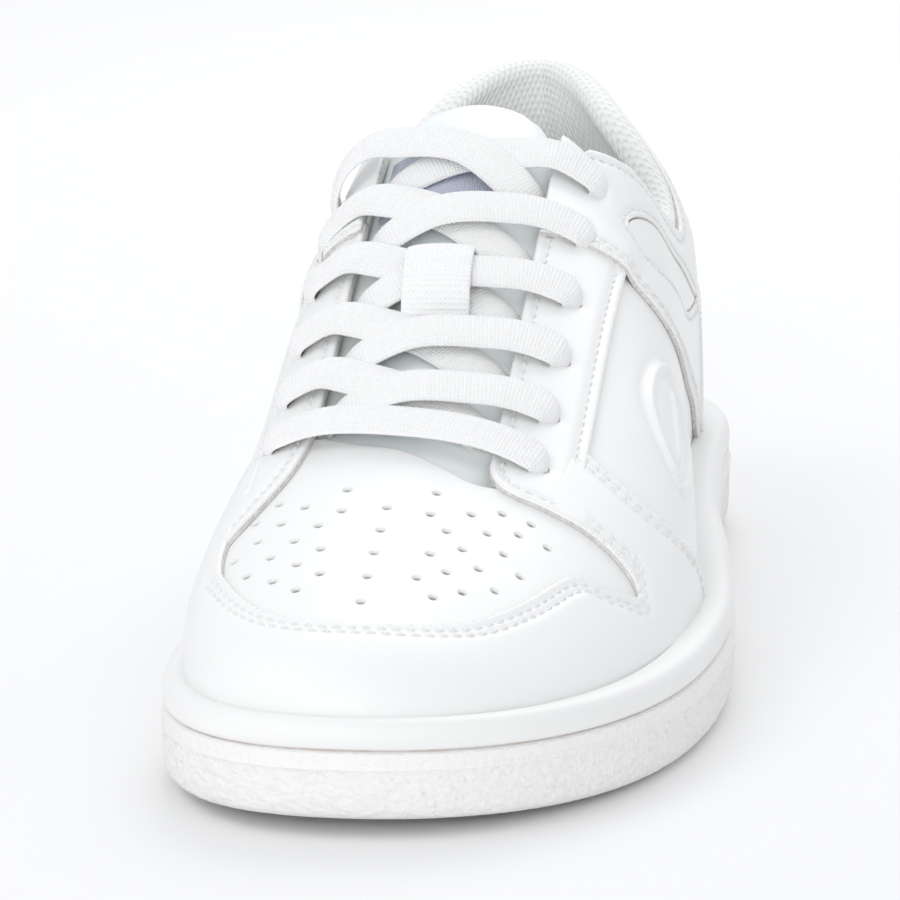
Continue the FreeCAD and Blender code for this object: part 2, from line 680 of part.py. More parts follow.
def inside_profile(t, thickness):
    """The lining's profile moved towards the padding by a thickness."""
    a, b = lining_profile(max(t - 0.02, 0.0)), lining_profile(min(t + 0.02, 1.0))
    rise, offset = lining_profile(t)
    length = math.hypot(b[0] - a[0], b[1] - a[1])
    return rise - (b[1] - a[1]) / length * thickness, offset + (b[0] - a[0]) / length * thickness


COLLAR_SPAN = (PAD_START, 2 - PAD_START)
PAD_BACK = -1.5               # the foam's back, just inside the base leather


def collar_sheet(profile, turns, columns=57):
    rows = []
    for around in spread(*COLLAR_SPAN, columns):
        top = topline_at(around)
        inside = min(around - COLLAR_SPAN[0], COLLAR_SPAN[1] - around)
        fullness = min(1.0, 0.45 + 0.55 * inside / PAD_FADE)
        row = []
        for t in turns:
            rise, offset = profile(t)
            offset = PAD_BACK + (offset - PAD_BACK) * (fullness if offset < PAD_BACK else 1.0)
            row.append(skin_at(around, top + rise, offset))
        rows.append(row)
    return rows


def make_collar_lining():
    turns = spread(0.0, 1.0, 25)
    outer = collar_sheet(lining_profile, turns)
    inner = collar_sheet(lambda t: inside_profile(t, LINING_THICK), turns)
    return thick_sheet(outer, inner)


def make_collar_foam():
    turns = spread(0.06, 0.7, 17)

    def back(t):
        rise, _ = inside_profile(t, FOAM_DEPTH)
        return rise, PAD_BACK

    def front(t):
        rise, offset = inside_profile(t, FOAM_DEPTH)
        return rise, min(offset + FOAM_EASE, PAD_BACK - 0.4)
    return thick_sheet(collar_sheet(back, turns), collar_sheet(front, turns))


# ---- Tongue -----------------------------------------------------------------------------------------------------------
TONGUE_FRONT, TONGUE_TOP = 78.0, 193.0
tongue_half = curve([(78, 18), (110, 20), (150, 20.5), (170, 20), (180, 18.5), (188, 16), (193, 12)])
tongue_lift = curve([(78, 0), (160, 0), (193, 3.4)])


def tongue_point(across, station, depth):
    """A point of the tongue, depth below its top face; across runs from -1 to 1."""
    half = tongue_half(station)
    x = ridge_x(station) + across * half
    crown = ridge_height(station) - TONGUE_DROP + tongue_lift(station)
    z = crown - TONGUE_BOW * (across * half / 27.0) ** 2
    slope = (ridge_height(station + 2) - ridge_height(station - 2)) / 4
    tilt = 2 * TONGUE_BOW * across * half / 27.0 ** 2
    normal = Vector(tilt, -slope, 1)
    normal.normalize()
    return place(x, station, z) - normal * depth


def tongue_layer(top, bottom, shrink=0.0):
    """One layer of the tongue; shrink pulls its edges in."""
    reach = 1 - shrink / 27.0
    sheets = []
    for depth in (top, bottom):
        sheets.append([[tongue_point(a, s, depth) for a in spread(-reach, reach, 13)]
                       for s in spread(TONGUE_FRONT + shrink, TONGUE_TOP - shrink, 33)])
    return thick_sheet(*sheets)


def tongue_patch(x_reach, front, back, low, high):
    """A flat piece stitched on the tongue."""
    sheets = []
    for depth in (-high, -low):
        sheets.append([[tongue_point(a, s, depth) for a in spread(-x_reach, x_reach, 7)]
                       for s in spread(front, back, 7)])
    return thick_sheet(*sheets)


# ---- Lace -------------------------------------------------------------------------------------------------------------
def strand(stops, widths):
    """A flat lace strand through stops (x, station, offset from the upper)."""
    points = [cover_at(*stop) for stop in stops]
    sections = []
    for i, point in enumerate(points):
        ahead = points[min(i + 1, len(points) - 1)] - points[max(i - 1, 0)]
        ahead.normalize()
        x, station, offset = stops[i]
        out = cover_at(x, station, offset + 1) - point
        across = out.cross(ahead)
        across.normalize()
        out = ahead.cross(across)
        w, h = across * (widths[i] / 2), out * (LACE_THICK / 2)
        sections.append(Part.makePolygon([point - w - h, point + w - h, point + w + h, point - w + h, point - w - h]))
    return Part.makeLoft(sections, True, False)


REST = OVERLAY[1] + 0.35 + LACE_THICK / 2     # height of a strand's middle where it lies on an eyestay


def lace_bar():
    """The first crossing, straight over the bottom eyelets."""
    a = (EYELET_X[-1], EYELET_STATIONS[-1][0])
    b = (EYELET_X[1], EYELET_STATIONS[1][0])
    lift = (0.0, 1.0, 2.6, 3.4, 3.6, 3.4, 2.6, 1.0, 0.0)
    stops = []
    for i, rise in enumerate(lift):
        t = i / (len(lift) - 1)
        stops.append((a[0] + (b[0] - a[0]) * t, a[1] + (b[1] - a[1]) * t, REST + rise))
    return strand(stops, [4.5] + [LACE_WIDTH] * 7 + [4.5])


def lace_crossing(side, row, upper):
    """A strand that comes out beside the opposite eyestay and ends over an eyelet of this side."""
    end_x, end_s = EYELET_X[side], EYELET_STATIONS[side][row]
    start_x = THROAT[-side] - side * -3.0
    start_s = (EYELET_STATIONS[-side][row] + EYELET_STATIONS[-side][row - 1]) / 2 - 2.0
    middle = 4.6 if upper else 1.4
    heights = (-0.6, 0.6, middle, middle, 2.6, REST + 0.9, REST)
    stops = []
    for i, height in enumerate(heights):
        t = i / (len(heights) - 1)
        stops.append((start_x + (end_x - start_x) * t, start_s + (end_s - start_s) * (t ** 0.8), height))
    return strand(stops, [LACE_WIDTH - 1] + [LACE_WIDTH] * 5 + [4.5])


def make_lace():
    strands = [lace_bar()]
    for row in range(1, len(EYELET_STATIONS[1])):
        lateral_over = row != len(EYELET_STATIONS[1]) - 1
        strands.append(lace_crossing(1, row, lateral_over))
        strands.append(lace_crossing(-1, row, not lateral_over))
    return Part.makeCompound(strands)


AGLET_TUCK = 9.5             # how far each lace tip lies behind the edge of its eyestay


def make_aglets():
    """Lace tips tucked between the tongue and the eyestays."""
    tips = []
    for side, station in ((1, 150.0), (-1, 156.0)):
        x = THROAT[side] + side * AGLET_TUCK
        start = cover_at(x, station, -4.8)
        end = cover_at(x, station + 18.0, -4.8)
        tips.append(Part.makeCylinder(1.05, (end - start).Length, start, end - start))
    return Part.makeCompound(tips)


# ---- Output -----------------------------------------------------------------------------------------------------------
def make_all():
    yield "outsole", make_outsole()
    yield "foxing_band", make_foxing_band()
    yield "midsole", make_midsole()
    yield "insole_board", make_board()
    yield "sockliner", make_sockliner()
    yield "toe_puff", make_toe_puff()
    yield "heel_counter", make_heel_counter()
    yield "vamp", make_vamp()
    yield "toe_cap", make_toe_cap()
    for name, side in (("lateral", 1), ("medial", -1)):
        yield "quarter_" + name, make_quarter(side)
        yield "eyestay_" + name, make_eyestay(side)
        yield "eyelet_reinforcement_" + name, make_eyelet_reinforcement(side)
        yield "collar_panel_" + name, make_collar_panel(side)
        yield "collar_insert_" + name, make_collar_insert(side)
        yield "quarter_lining_" + name, make_quarter_lining(side)
    yield "heel_foxing", make_heel_foxing()
    yield "heel_tab", make_heel_tab()
    yield "forefoot_lining", make_forefoot_lining()
    yield "collar_foam", make_collar_foam()
    yield "collar_lining", make_collar_lining()
    yield "tongue_shell", tongue_layer(0.0, 0.9)
    yield "tongue_foam", tongue_layer(1.1, 4.4, shrink=2.0)
    yield "tongue_lining", tongue_layer(4.6, 5.4, shrink=0.5)
    yield "tongue_lace_keeper", tongue_patch(0.4, 134.0, 152.0, 0.2, 1.1)
    yield "tongue_label", tongue_patch(0.5, 165.0, 184.0, 0.2, 0.8)
    yield "lace", make_lace()
    yield "lace_aglets", make_aglets()


os.makedirs("parts", exist_ok=True)
for node, shape in make_all():
    print(node, len(shape.Solids), round(shape.Volume), shape.isValid(), flush=True)
    shape.exportStep("parts/" + node + ".step")
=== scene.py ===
"""Looks of a left low-top cheer shoe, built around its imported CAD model.

The form is worked out in millimetres and becomes metres when a mesh is made.  +X is the outer
(lateral) side, the toe points to -Y and +Z is up.  A "station" is a distance from the toe tip, so
y = station - LENGTH / 2.  A side is 1 for the lateral half of the shoe and -1 for the medial half.
"""
import math

import bpy
import numpy as np
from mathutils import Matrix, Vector, noise
from mathutils.geometry import delaunay_2d_cdt


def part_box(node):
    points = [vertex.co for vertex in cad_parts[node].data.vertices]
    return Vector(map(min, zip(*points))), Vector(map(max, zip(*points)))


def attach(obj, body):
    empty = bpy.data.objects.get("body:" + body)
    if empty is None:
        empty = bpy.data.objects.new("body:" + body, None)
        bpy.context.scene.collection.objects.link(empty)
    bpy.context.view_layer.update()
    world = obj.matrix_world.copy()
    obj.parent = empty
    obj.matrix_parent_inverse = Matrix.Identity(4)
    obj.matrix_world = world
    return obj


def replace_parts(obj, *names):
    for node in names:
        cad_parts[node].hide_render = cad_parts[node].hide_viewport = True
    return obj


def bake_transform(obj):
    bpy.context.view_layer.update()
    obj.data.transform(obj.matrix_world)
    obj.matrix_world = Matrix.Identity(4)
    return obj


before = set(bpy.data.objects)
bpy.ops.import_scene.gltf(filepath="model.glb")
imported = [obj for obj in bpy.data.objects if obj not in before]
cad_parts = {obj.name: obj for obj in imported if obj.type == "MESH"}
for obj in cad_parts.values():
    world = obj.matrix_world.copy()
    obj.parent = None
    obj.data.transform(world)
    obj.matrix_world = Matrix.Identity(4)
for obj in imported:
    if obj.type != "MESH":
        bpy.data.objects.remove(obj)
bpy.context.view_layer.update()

MM = 0.001
SOLE_LOW, SOLE_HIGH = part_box("outsole")
LENGTH = (SOLE_HIGH.y - SOLE_LOW.y) / MM
RANDOM = np.random.default_rng(7)

# ---- Driving dimensions (mm) ---------------------------------------------------------------------
UPPER_INSET = 6.8             # sole's edge to the base leather
RIM_HEIGHT = 5.4
RIM_WIDTH = 6.7
GROOVE_TOE, GROOVE_HEEL = 13.1, 18.3
TOE_SPRING, SPRING_STATION = 3.0, 75.0
FOOT_OF_WALL = 12.0
HEEL_STRETCH = 200.0
OVERLAY = (0.1, 1.5)          # layers as distances out from the base leather
INSERT = (0.1, 0.9)
BASE = (-1.2, 0.0)

CENTRE_LINE = [(0, -11.2), (70, -8.5), (140, -5.0), (284, -6.0)]
EDGE_LINE = {1: [(0, 49.3), (95, 49.3), (140, 45.0), (185, 38.5), (233, 35.5), (284, 35.0)],
             -1: [(0, -50.4), (50, -49.6), (85, -49.5), (135, -49.2), (175, -48.2), (233, -46.0),
                  (284, -45.0)]}
# how far the upper swells out over the rim
BULGE = {1: [(0, 0), (284, 0)], -1: [(0, 0), (20, 2.4), (70, 2.4), (115, 0), (284, 0)]}
TOE_ROUND = {1: (100.0, 2.2), -1: (60.0, 2.4)}
HEEL_ROUND = (45.0, 2.2)
RIDGE = [(0, 12), (0.2, 18), (1.2, 23), (4, 27), (10, 30.5), (22, 34), (34, 38), (58, 45),
         (84, 53), (106, 62), (128, 72), (150, 82), (167, 90), (184, 98), (200, 108), (214, 120),
         (226, 131), (236, 138)]
RIDGE_X = [(0, -11.2), (40, -11.0), (95, -11.0), (150, -10.5), (190, -10.0), (235, -9.0), (284, -9.0)]
HEEL_LINE = [(12, -1.5), (30, 0.5), (45, 0.6), (60, -1.5), (75, -4.5), (90, -7.5), (105, -8.5), (138, -8.5)]
SQUARENESS = {1: [(0, 2.0), (60, 2.0), (100, 2.7), (140, 3.8), (180, 3.6), (215, 2.6), (284, 2.4)],
              -1: [(0, 4.5), (30, 6.0), (60, 6.0), (100, 6.2), (140, 6.6), (180, 5.6), (215, 4.0),
                   (284, 3.0)]}
PINCH = {1: [(0, 0), (60, 0), (72, 0.08), (80, 0.2), (87, 0.33), (95, 0.42), (138, 0.55)],
         -1: [(0, 0), (66, 0), (75, 0.05), (80, 0.11), (87, 0.22), (95, 0.3), (138, 0.45)]}
PINCH_STATIONS = (185.0, 242.0)
TOPLINE = [(150, 100), (183, 92), (190, 89), (200, 83), (210, 76), (218, 70.5), (226, 67.5), (234, 71),
           (242, 79), (249, 85.5), (257, 89), (267, 91.5), (284, 93)]

THROAT = {1: 5.5, -1: -28.5}
THROAT_MIDDLE = (THROAT[1] + THROAT[-1]) / 2
EYESTAY_OUTER = {1: 22.0, -1: -40.2}
EYELET_X = {1: 14.2, -1: -36.3}
EYELET_STATIONS = {1: [86, 102, 119, 137, 157, 176], -1: [92, 108, 125, 144, 163, 180]}
EYELET_RADIUS = 1.9
PANEL_FRONT = 155.0
SHOE_MIDDLE = -11.0           # x halfway between the eyestays
HEEL_TAB_FRONT, FOXING_FRONT, FOXING_TOP = 262.0, 236.0, 56.0
SIDE_NAME = {1: "lateral", -1: "medial"}

LACE_WIDTH, LACE_THICK = 9.8, 1.7
STITCH_PITCH, STITCH_LENGTH, STITCH_RADIUS = 2.6, 2.1, 0.32
PERFORATION_RADIUS = 0.68


# ---- Curves --------------------------------------------------------------------------------------
def curve(points):
    """A smooth function through (x, y) points that never overshoots; flat beyond both ends."""
    xs, ys = np.array(points, float).T
    steps = np.diff(xs)
    slopes = np.diff(ys) / steps
    tangents = np.concatenate(([slopes[0]], np.zeros(len(xs) - 2), [slopes[-1]]))
    for i in range(1, len(xs) - 1):
        if slopes[i - 1] * slopes[i] > 0:
            w1 = 2 * steps[i] + steps[i - 1]
            w2 = steps[i] + 2 * steps[i - 1]
            tangents[i] = (w1 + w2) / (w1 / slopes[i - 1] + w2 / slopes[i])

    def value(x):
        x = np.clip(np.asarray(x, float), xs[0], xs[-1])
        i = np.clip(np.searchsorted(xs, x, side="right") - 1, 0, len(xs) - 2)
        t = (x - xs[i]) / steps[i]
        ends = ys[i] * (1 + 2 * t) * (1 - t) ** 2 + ys[i + 1] * t * t * (3 - 2 * t)
        return ends + steps[i] * (tangents[i] * t * (1 - t) ** 2 - tangents[i + 1] * t * t * (1 - t))
    return value


centre_line = curve(CENTRE_LINE)
edge_line = {side: curve(EDGE_LINE[side]) for side in (1, -1)}
ridge_height = curve([(station + UPPER_INSET, z) for station, z in RIDGE])
ridge_x = curve(RIDGE_X)
heel_line = curve(HEEL_LINE)
bulge = {side: curve(BULGE[side]) for side in (1, -1)}
squareness = {side: curve(SQUARENESS[side]) for side in (1, -1)}
pinch = {side: curve(PINCH[side]) for side in (1, -1)}
topline = curve(TOPLINE)


def toe_spring(station):
    """How far the sole's underside is raised off the ground."""
    return TOE_SPRING * np.maximum(0.0, 1 - np.asarray(station) / SPRING_STATION) ** 2


def groove_height(station):
    """Height of the groove between the rim and the sole's wall."""
    return toe_spring(station) + GROOVE_TOE + (GROOVE_HEEL - GROOVE_TOE) * np.asarray(station) / LENGTH


def upper_floor(station):
    """Height of the upper's bottom edge, just over the groove."""
    return groove_height(station) + 0.6


def travelled(points):
    """Distance along a path at each of its points."""
    return np.concatenate([[0], np.cumsum(np.linalg.norm(np.diff(points, axis=0), axis=1))])


def spaced(points, spacing, closed=False):
    """The same path with its points evenly spaced."""
    points = np.asarray(points, float)
    if closed:
        points = np.vstack([points, points[:1]])
    lengths = travelled(points)
    count = max(int(round(lengths[-1] / spacing)), 2)
    at = np.linspace(0, lengths[-1], count + 1)
    if closed:
        at = at[:-1]
    return np.column_stack([np.interp(at, lengths, points[:, k]) for k in range(points.shape[1])])


def smooth(points, spacing=1.0):
    """A path through points: straight through two, a smooth curve through more."""
    points = np.asarray(points, float)
    if len(points) == 2:
        return spaced(points, spacing)
    padded = np.vstack([2 * points[0] - points[1], points, 2 * points[-1] - points[-2]])
    knots = np.concatenate([[0], np.cumsum(np.linalg.norm(np.diff(padded, axis=0), axis=1) ** 0.5)])
    dense = []
    for i in range(1, len(padded) - 2):
        p = padded[i - 1:i + 3]
        k = knots[i - 1:i + 3]
        t = np.linspace(k[1], k[2], 24, endpoint=i == len(padded) - 3)[:, None]
        a1 = (k[1] - t) / (k[1] - k[0]) * p[0] + (t - k[0]) / (k[1] - k[0]) * p[1]
        a2 = (k[2] - t) / (k[2] - k[1]) * p[1] + (t - k[1]) / (k[2] - k[1]) * p[2]
        a3 = (k[3] - t) / (k[3] - k[2]) * p[2] + (t - k[2]) / (k[3] - k[2]) * p[3]
        b1 = (k[2] - t) / (k[2] - k[0]) * a1 + (t - k[0]) / (k[2] - k[0]) * a2
        b2 = (k[3] - t) / (k[3] - k[1]) * a2 + (t - k[1]) / (k[3] - k[1]) * a3
        dense.append((k[2] - t) / (k[2] - k[1]) * b1 + (t - k[1]) / (k[2] - k[1]) * b2)
    return spaced(np.vstack(dense), spacing)


def joined(*runs):
    """Runs of points joined into one closed outline."""
    return np.vstack([smooth(run)[:-1] if len(run) else run for run in runs])


# ---- Form of the sole outline and of the upper ---------------------------------------------------
def rounding(distance, length, power):
    """0 at an end of the outline, 1 from a length away from it."""
    share = np.clip(np.asarray(distance, float) / length, 0.0, 1.0)
    return (1 - (1 - share) ** power) ** (1 / power)


def plan_x(station, side, inset=0.0):
    """x of the sole's plan outline, moved in by an inset."""
    centre = centre_line(station)
    half = np.abs(edge_line[side](station) - centre) - inset
    toe = rounding(station - inset, *TOE_ROUND[side])
    heel = rounding(LENGTH - inset - station, *HEEL_ROUND)
    return centre + side * half * toe * heel


def closed_in(x, station, side, z):
    """x after the walls close in over the ankle."""
    t = np.clip((station - PINCH_STATIONS[0]) / (PINCH_STATIONS[1] - PINCH_STATIONS[0]), 0.0, 1.0)
    middle = ridge_x(station)
    return middle + (x - middle) * (1 - pinch[side](z) * t * t * (3 - 2 * t))


def wall_x(station, side, z, plan_station):
    """x of the upper's outer face at a station and a height."""
    top = ridge_height(station)
    middle = ridge_x(station)
    foot = plan_x(plan_station, side, UPPER_INSET) + side * bulge[side](station)
    if z <= FOOT_OF_WALL:
        return foot
    depth = np.clip((top - z) / np.maximum(top - FOOT_OF_WALL, 1e-6), 0.0, 1.0)
    share = np.sqrt(1 - (1 - depth) ** squareness[side](station))
    return closed_in(middle + (foot - middle) * share, station, side, z)


def nose_station(z):
    """The station where the ridge line reaches a height."""
    low, high = UPPER_INSET, LENGTH
    if ridge_height(low + 1e-3) >= z:
        return low
    for _ in range(40):
        middle = (low + high) / 2
        low, high = (middle, high) if ridge_height(middle) < z else (low, middle)
    return (low + high) / 2


SLICE_LOW, SLICE_STEP, SLICE_COUNT, SLICE_POINTS = 8.0, 1.5, 76, 321


def half_slice(z, side):
    """The upper's outer face at one height, evenly spaced from the nose to the middle of the heel."""
    front = nose_station(z)
    back = LENGTH - UPPER_INSET + heel_line(z)
    station = front + (back - front) * (1 - np.cos(np.linspace(0, math.pi, 500))) / 2
    scale = (LENGTH - UPPER_INSET - HEEL_STRETCH) / (back - HEEL_STRETCH)
    stretched = HEEL_STRETCH + (station - HEEL_STRETCH) * scale
    plan_station = np.where(station > HEEL_STRETCH, stretched, station)
    x = wall_x(station, side, z, plan_station)
    x[0] = ridge_x(station[0])
    lengths = travelled(np.column_stack([x, station]))
    at = np.linspace(0, lengths[-1], SLICE_POINTS)
    return np.column_stack([np.interp(at, lengths, x), np.interp(at, lengths, station)])


SLICES = np.array([[half_slice(SLICE_LOW + SLICE_STEP * i, side) for i in range(SLICE_COUNT)]
                   for side in (1, -1)])


def face_point(around, z):
    """(x, station, z) on the upper's outer face.

    around is 0 at the nose and grows to 1 at the middle of the heel, or falls to -1 on the medial side.
    """
    around = np.asarray(around, float)
    z = np.broadcast_to(np.asarray(z, float), around.shape)
    around = np.where(np.abs(around) > 1, (around + 1) % 2 - 1, around)
    side = np.where(around >= 0, 0, 1)
    row = np.clip((z - SLICE_LOW) / SLICE_STEP, 1, SLICE_COUNT - 3)
    i = row.astype(int)
    t = row - i
    column = np.abs(around) * (SLICE_POINTS - 1)
    j = np.minimum(column.astype(int), SLICE_POINTS - 2)
    f = (column - j)[..., None]
    weights = (-t * (1 - t) ** 2 / 2, (2 - 5 * t * t + 3 * t ** 3) / 2,
               (t + 4 * t * t - 3 * t ** 3) / 2, -t * t * (1 - t) / 2)
    total = 0.0
    for k, weight in enumerate(weights):
        a, b = SLICES[side, i - 1 + k, j], SLICES[side, i - 1 + k, j + 1]
        total = total + weight[..., None] * (a + (b - a) * f)
    return np.concatenate([total, z[..., None]], axis=-1)


def placed(points):
    """Points of (x, station, z) in the shoe's frame."""
    points = np.array(points, float)
    points[..., 1] -= LENGTH / 2
    return points


def normalized(vectors):
    return vectors / np.maximum(np.linalg.norm(vectors, axis=-1, keepdims=True), 1e-9)


AROUND_SCALE = 250.0          # one unit around is about this long


def wall_chart(ab, offset=0.0):
    """Chart of the upper as (around * AROUND_SCALE, z)."""
    around, z = ab[:, 0] / AROUND_SCALE, ab[:, 1]
    da, dz = 0.006, 1.0
    along = face_point(around + da, z) - face_point(around - da, z)
    up = face_point(around, z + dz) - face_point(around, z - dz)
    normal = normalized(np.cross(along, up))
    return placed(face_point(around, z)) + normal * np.asarray(offset)[..., None]


def cover_height(x, station):
    """Height of the upper's outer face above a point of the plan, over the forefoot and the throat."""
    x, station = np.broadcast_arrays(np.asarray(x, float), np.asarray(station, float))
    heights = []
    for side in (1, -1):
        top = ridge_height(station)
        middle = ridge_x(station)
        foot = plan_x(station, side, UPPER_INSET) + side * bulge[side](station)
        flat_x = x.copy()
        z = top
        for _ in range(6):
            share = np.clip(np.abs((flat_x - middle) / (foot - middle)), 0, 0.9995)
            z = top - (1 - (1 - share ** 2) ** (1 / squareness[side](station))) * (top - FOOT_OF_WALL)
            flat_x = flat_x + x - closed_in(flat_x, station, side, z)
        heights.append(z)
    return np.where(x >= ridge_x(station), heights[0], heights[1])


def plan_chart(ab, offset=0.0):
    """Chart of the upper over its plan, as (x, station)."""
    x, station = ab[:, 0], ab[:, 1]
    d = 0.6
    slope_x = (cover_height(x + d, station) - cover_height(x - d, station)) / (2 * d)
    slope_y = (cover_height(x, station + d) - cover_height(x, station - d)) / (2 * d)
    normal = normalized(np.stack([-slope_x, -slope_y, np.ones_like(x)], -1))
    face = placed(np.stack([x, station, cover_height(x, station)], -1))
    return face + normal * np.asarray(offset)[..., None]


def solve_around(side, z, measure, target):
    """The position around where a measure that grows from nose to heel reaches its target."""
    low, high = np.zeros(len(z)), np.ones(len(z))
    for _ in range(26):
        middle = (low + high) / 2
        under = measure(face_point(side * middle, z)) < target
        low, high = np.where(under, middle, low), np.where(under, high, middle)
    return side * (low + high) / 2 * AROUND_SCALE


def from_side(side, points):
    """Chart points of a side-view path of (station, height)."""
    points = np.asarray(points, float)
    around = solve_around(side, points[:, 1], lambda p: p[:, 1], points[:, 0])
    return np.column_stack([around, points[:, 1]])


def around_at(side, station, z):
    """How far around the upper a station and a height are."""
    return from_side(side, [(station, z)])[0, 0] / AROUND_SCALE


def from_plan(points):
    """Chart points of a plan path of (x, station)."""
    points = np.asarray(points, float)
    z = cover_height(points[:, 0], points[:, 1])
    result = np.zeros_like(points)
    for side in (1, -1):
        mine = (points[:, 0] >= ridge_x(points[:, 1])) == (side > 0)
        if mine.any():
            target = side * points[mine, 0] + points[mine, 1]
            around = solve_around(side, z[mine], lambda p: side * p[:, 0] + p[:, 1], target)
            result[mine] = np.column_stack([around, z[mine]])
    return result


def topline_height(around):
    """Height of the topline at positions around the upper."""
    low, high = np.full(len(around), 40.0), np.full(len(around), 104.0)
    for _ in range(26):
        z = (low + high) / 2
        under = topline(face_point(around, z)[:, 1]) > z
        low, high = np.where(under, z, low), np.where(under, high, z)
    return low


# ---- Meshes --------------------------------------------------------------------------------------
def make_object(name, points, faces, materials, face_materials=None, uv=None, sharp=math.radians(48)):
    """A mesh object from points in millimetres."""
    mesh = bpy.data.meshes.new(name)
    mesh.from_pydata((np.asarray(points) * MM).tolist(), [], [tuple(f) for f in faces])
    for material in materials:
        mesh.materials.append(material)
    if face_materials is not None:
        mesh.polygons.foreach_set("material_index", np.asarray(face_materials, dtype=np.int32))
    if uv is not None:
        layer = mesh.uv_layers.new(name="UVMap")
        corners = np.zeros(len(mesh.loops), dtype=np.int32)
        mesh.loops.foreach_get("vertex_index", corners)
        layer.data.foreach_set("uv", np.asarray(uv, dtype=np.float32)[corners].ravel())
    mesh.shade_smooth()
    mesh.set_sharp_from_angle(angle=sharp)
    mesh.validate()
    mesh.update()
    taken = name in bpy.data.objects
    obj = bpy.data.objects.new(name + "_detailed" if taken else name, mesh)
    bpy.context.scene.collection.objects.link(obj)
    return obj


def finish_piece(obj, body, slot, *nodes):
    """Gives a piece its body and hides the nodes it stands for; the slot is not used."""
    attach(obj, body)
    if nodes:
        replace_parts(obj, *nodes)
    return obj


def inside(points, outline):
    """Which 2-D points lie inside a closed outline."""
    result = np.zeros(len(points), dtype=bool)
    x, y = points[:, 0], points[:, 1]
    following = np.roll(outline, -1, axis=0)
    for (x0, y0), (x1, y1) in zip(outline, following):
        if y0 == y1:
            continue
        crosses = (y0 > y) != (y1 > y)
        result ^= crosses & (x < (x1 - x0) * (y - y0) / (y1 - y0) + x0)
    return result


def distance_to(points, path, closed=True):
    """Distance from 3-D points to a 3-D path."""
    a = path if closed else path[:-1]
    b = np.roll(path, -1, axis=0) if closed else path[1:]
    best = np.full(len(points), 1e9)
    for p, q in zip(a, b):
        d = q - p
        t = np.clip(((points - p) @ d) / max(d @ d, 1e-12), 0, 1)
        gap = points - p - t[:, None] * d
        best = np.minimum(best, np.einsum("ij,ij->i", gap, gap))
    return np.sqrt(best)


def shifted(chart, path, distance, closed=False):
    """A chart path moved sideways over the surface by a real distance, to the left of its direction."""
    h = 0.3
    pa = (chart(path + [h, 0]) - chart(path - [h, 0])) / (2 * h)
    pb = (chart(path + [0, h]) - chart(path - [0, h])) / (2 * h)
    space = chart(path)
    if closed:
        tangent = np.roll(space, -1, axis=0) - np.roll(space, 1, axis=0)
    else:
        tangent = np.gradient(space, axis=0)
    w = normalized(np.cross(normalized(np.cross(pa, pb)), tangent)) * distance
    g11, g12, g22 = (pa * pa).sum(1), (pa * pb).sum(1), (pb * pb).sum(1)
    r1, r2 = (w * pa).sum(1), (w * pb).sum(1)
    det = np.maximum(g11 * g22 - g12 * g12, 1e-9)
    moved = path + np.column_stack([(g22 * r1 - g12 * r2) / det, (g11 * r2 - g12 * r1) / det])
    if closed or len(moved) < 9:
        return moved
    knots = moved[np.unique(np.linspace(0, len(moved) - 1, max(len(moved) // 5, 4)).astype(int))]
    return smooth(knots, 0.8)


EDGE_ROUND = 0.55
RING_INSETS = (0.14, 0.4, 0.85)           # rings of mesh points inside a panel's edge
SEAM_SHARES = (0.0, 0.6, -0.6, 1.4, -1.4, 2.4, -2.4)          # and beside a seam, as shares of its width
SEAM_CLEAR = 1.6              # other mesh points stay this far from a seam


def clearance(chart, points, borders):
    """Distance on the surface from chart points to the nearest border."""
    space = chart(points)
    return np.min([distance_to(space, border) for border in borders], axis=0)


def within(points, rings):
    """Which chart points lie inside the outline and outside the holes."""
    result = inside(points, rings[0])
    for hole in rings[1:]:
        result &= ~inside(points, hole)
    return result


def guide_points(chart, rings, borders, seams, dense):
    """Mesh points along the rounded edge and along the seams, and any extra ones."""
    guides = []
    for inset in RING_INSETS:
        ring = shifted(chart, rings[0], inset, closed=True)
        guides.append(ring[clearance(chart, ring, borders) > inset * 0.9])
    for path, _, half in seams:
        for share in SEAM_SHARES:
            guides.append(shifted(chart, spaced(path, 1.2), half * share))
    if len(dense):
        guides.append(np.asarray(dense))
    guides = np.vstack(guides)
    guides = guides[within(guides, rings)]
    return guides[clearance(chart, guides, borders) > 0.1]


def filler_points(chart, rings, borders, seam_lines, metric, spacing):
    """An even grid of mesh points, clear of the borders and the seams."""
    low, high = rings[0].min(0), rings[0].max(0)
    step = spacing / metric
    grid_a, grid_b = np.meshgrid(np.arange(low[0], high[0], step[0]),
                                 np.arange(low[1], high[1], step[1] * 0.87))
    grid_a[1::2] += step[0] / 2
    grid = np.column_stack([grid_a.ravel(), grid_b.ravel()])
    grid = grid[within(grid, rings)]
    grid = grid[clearance(chart, grid, borders) > spacing * 0.6]
    if seam_lines:
        space = chart(grid)
        near = np.min([distance_to(space, line, closed=False) for line in seam_lines], axis=0)
        grid = grid[near > SEAM_CLEAR]
    return grid


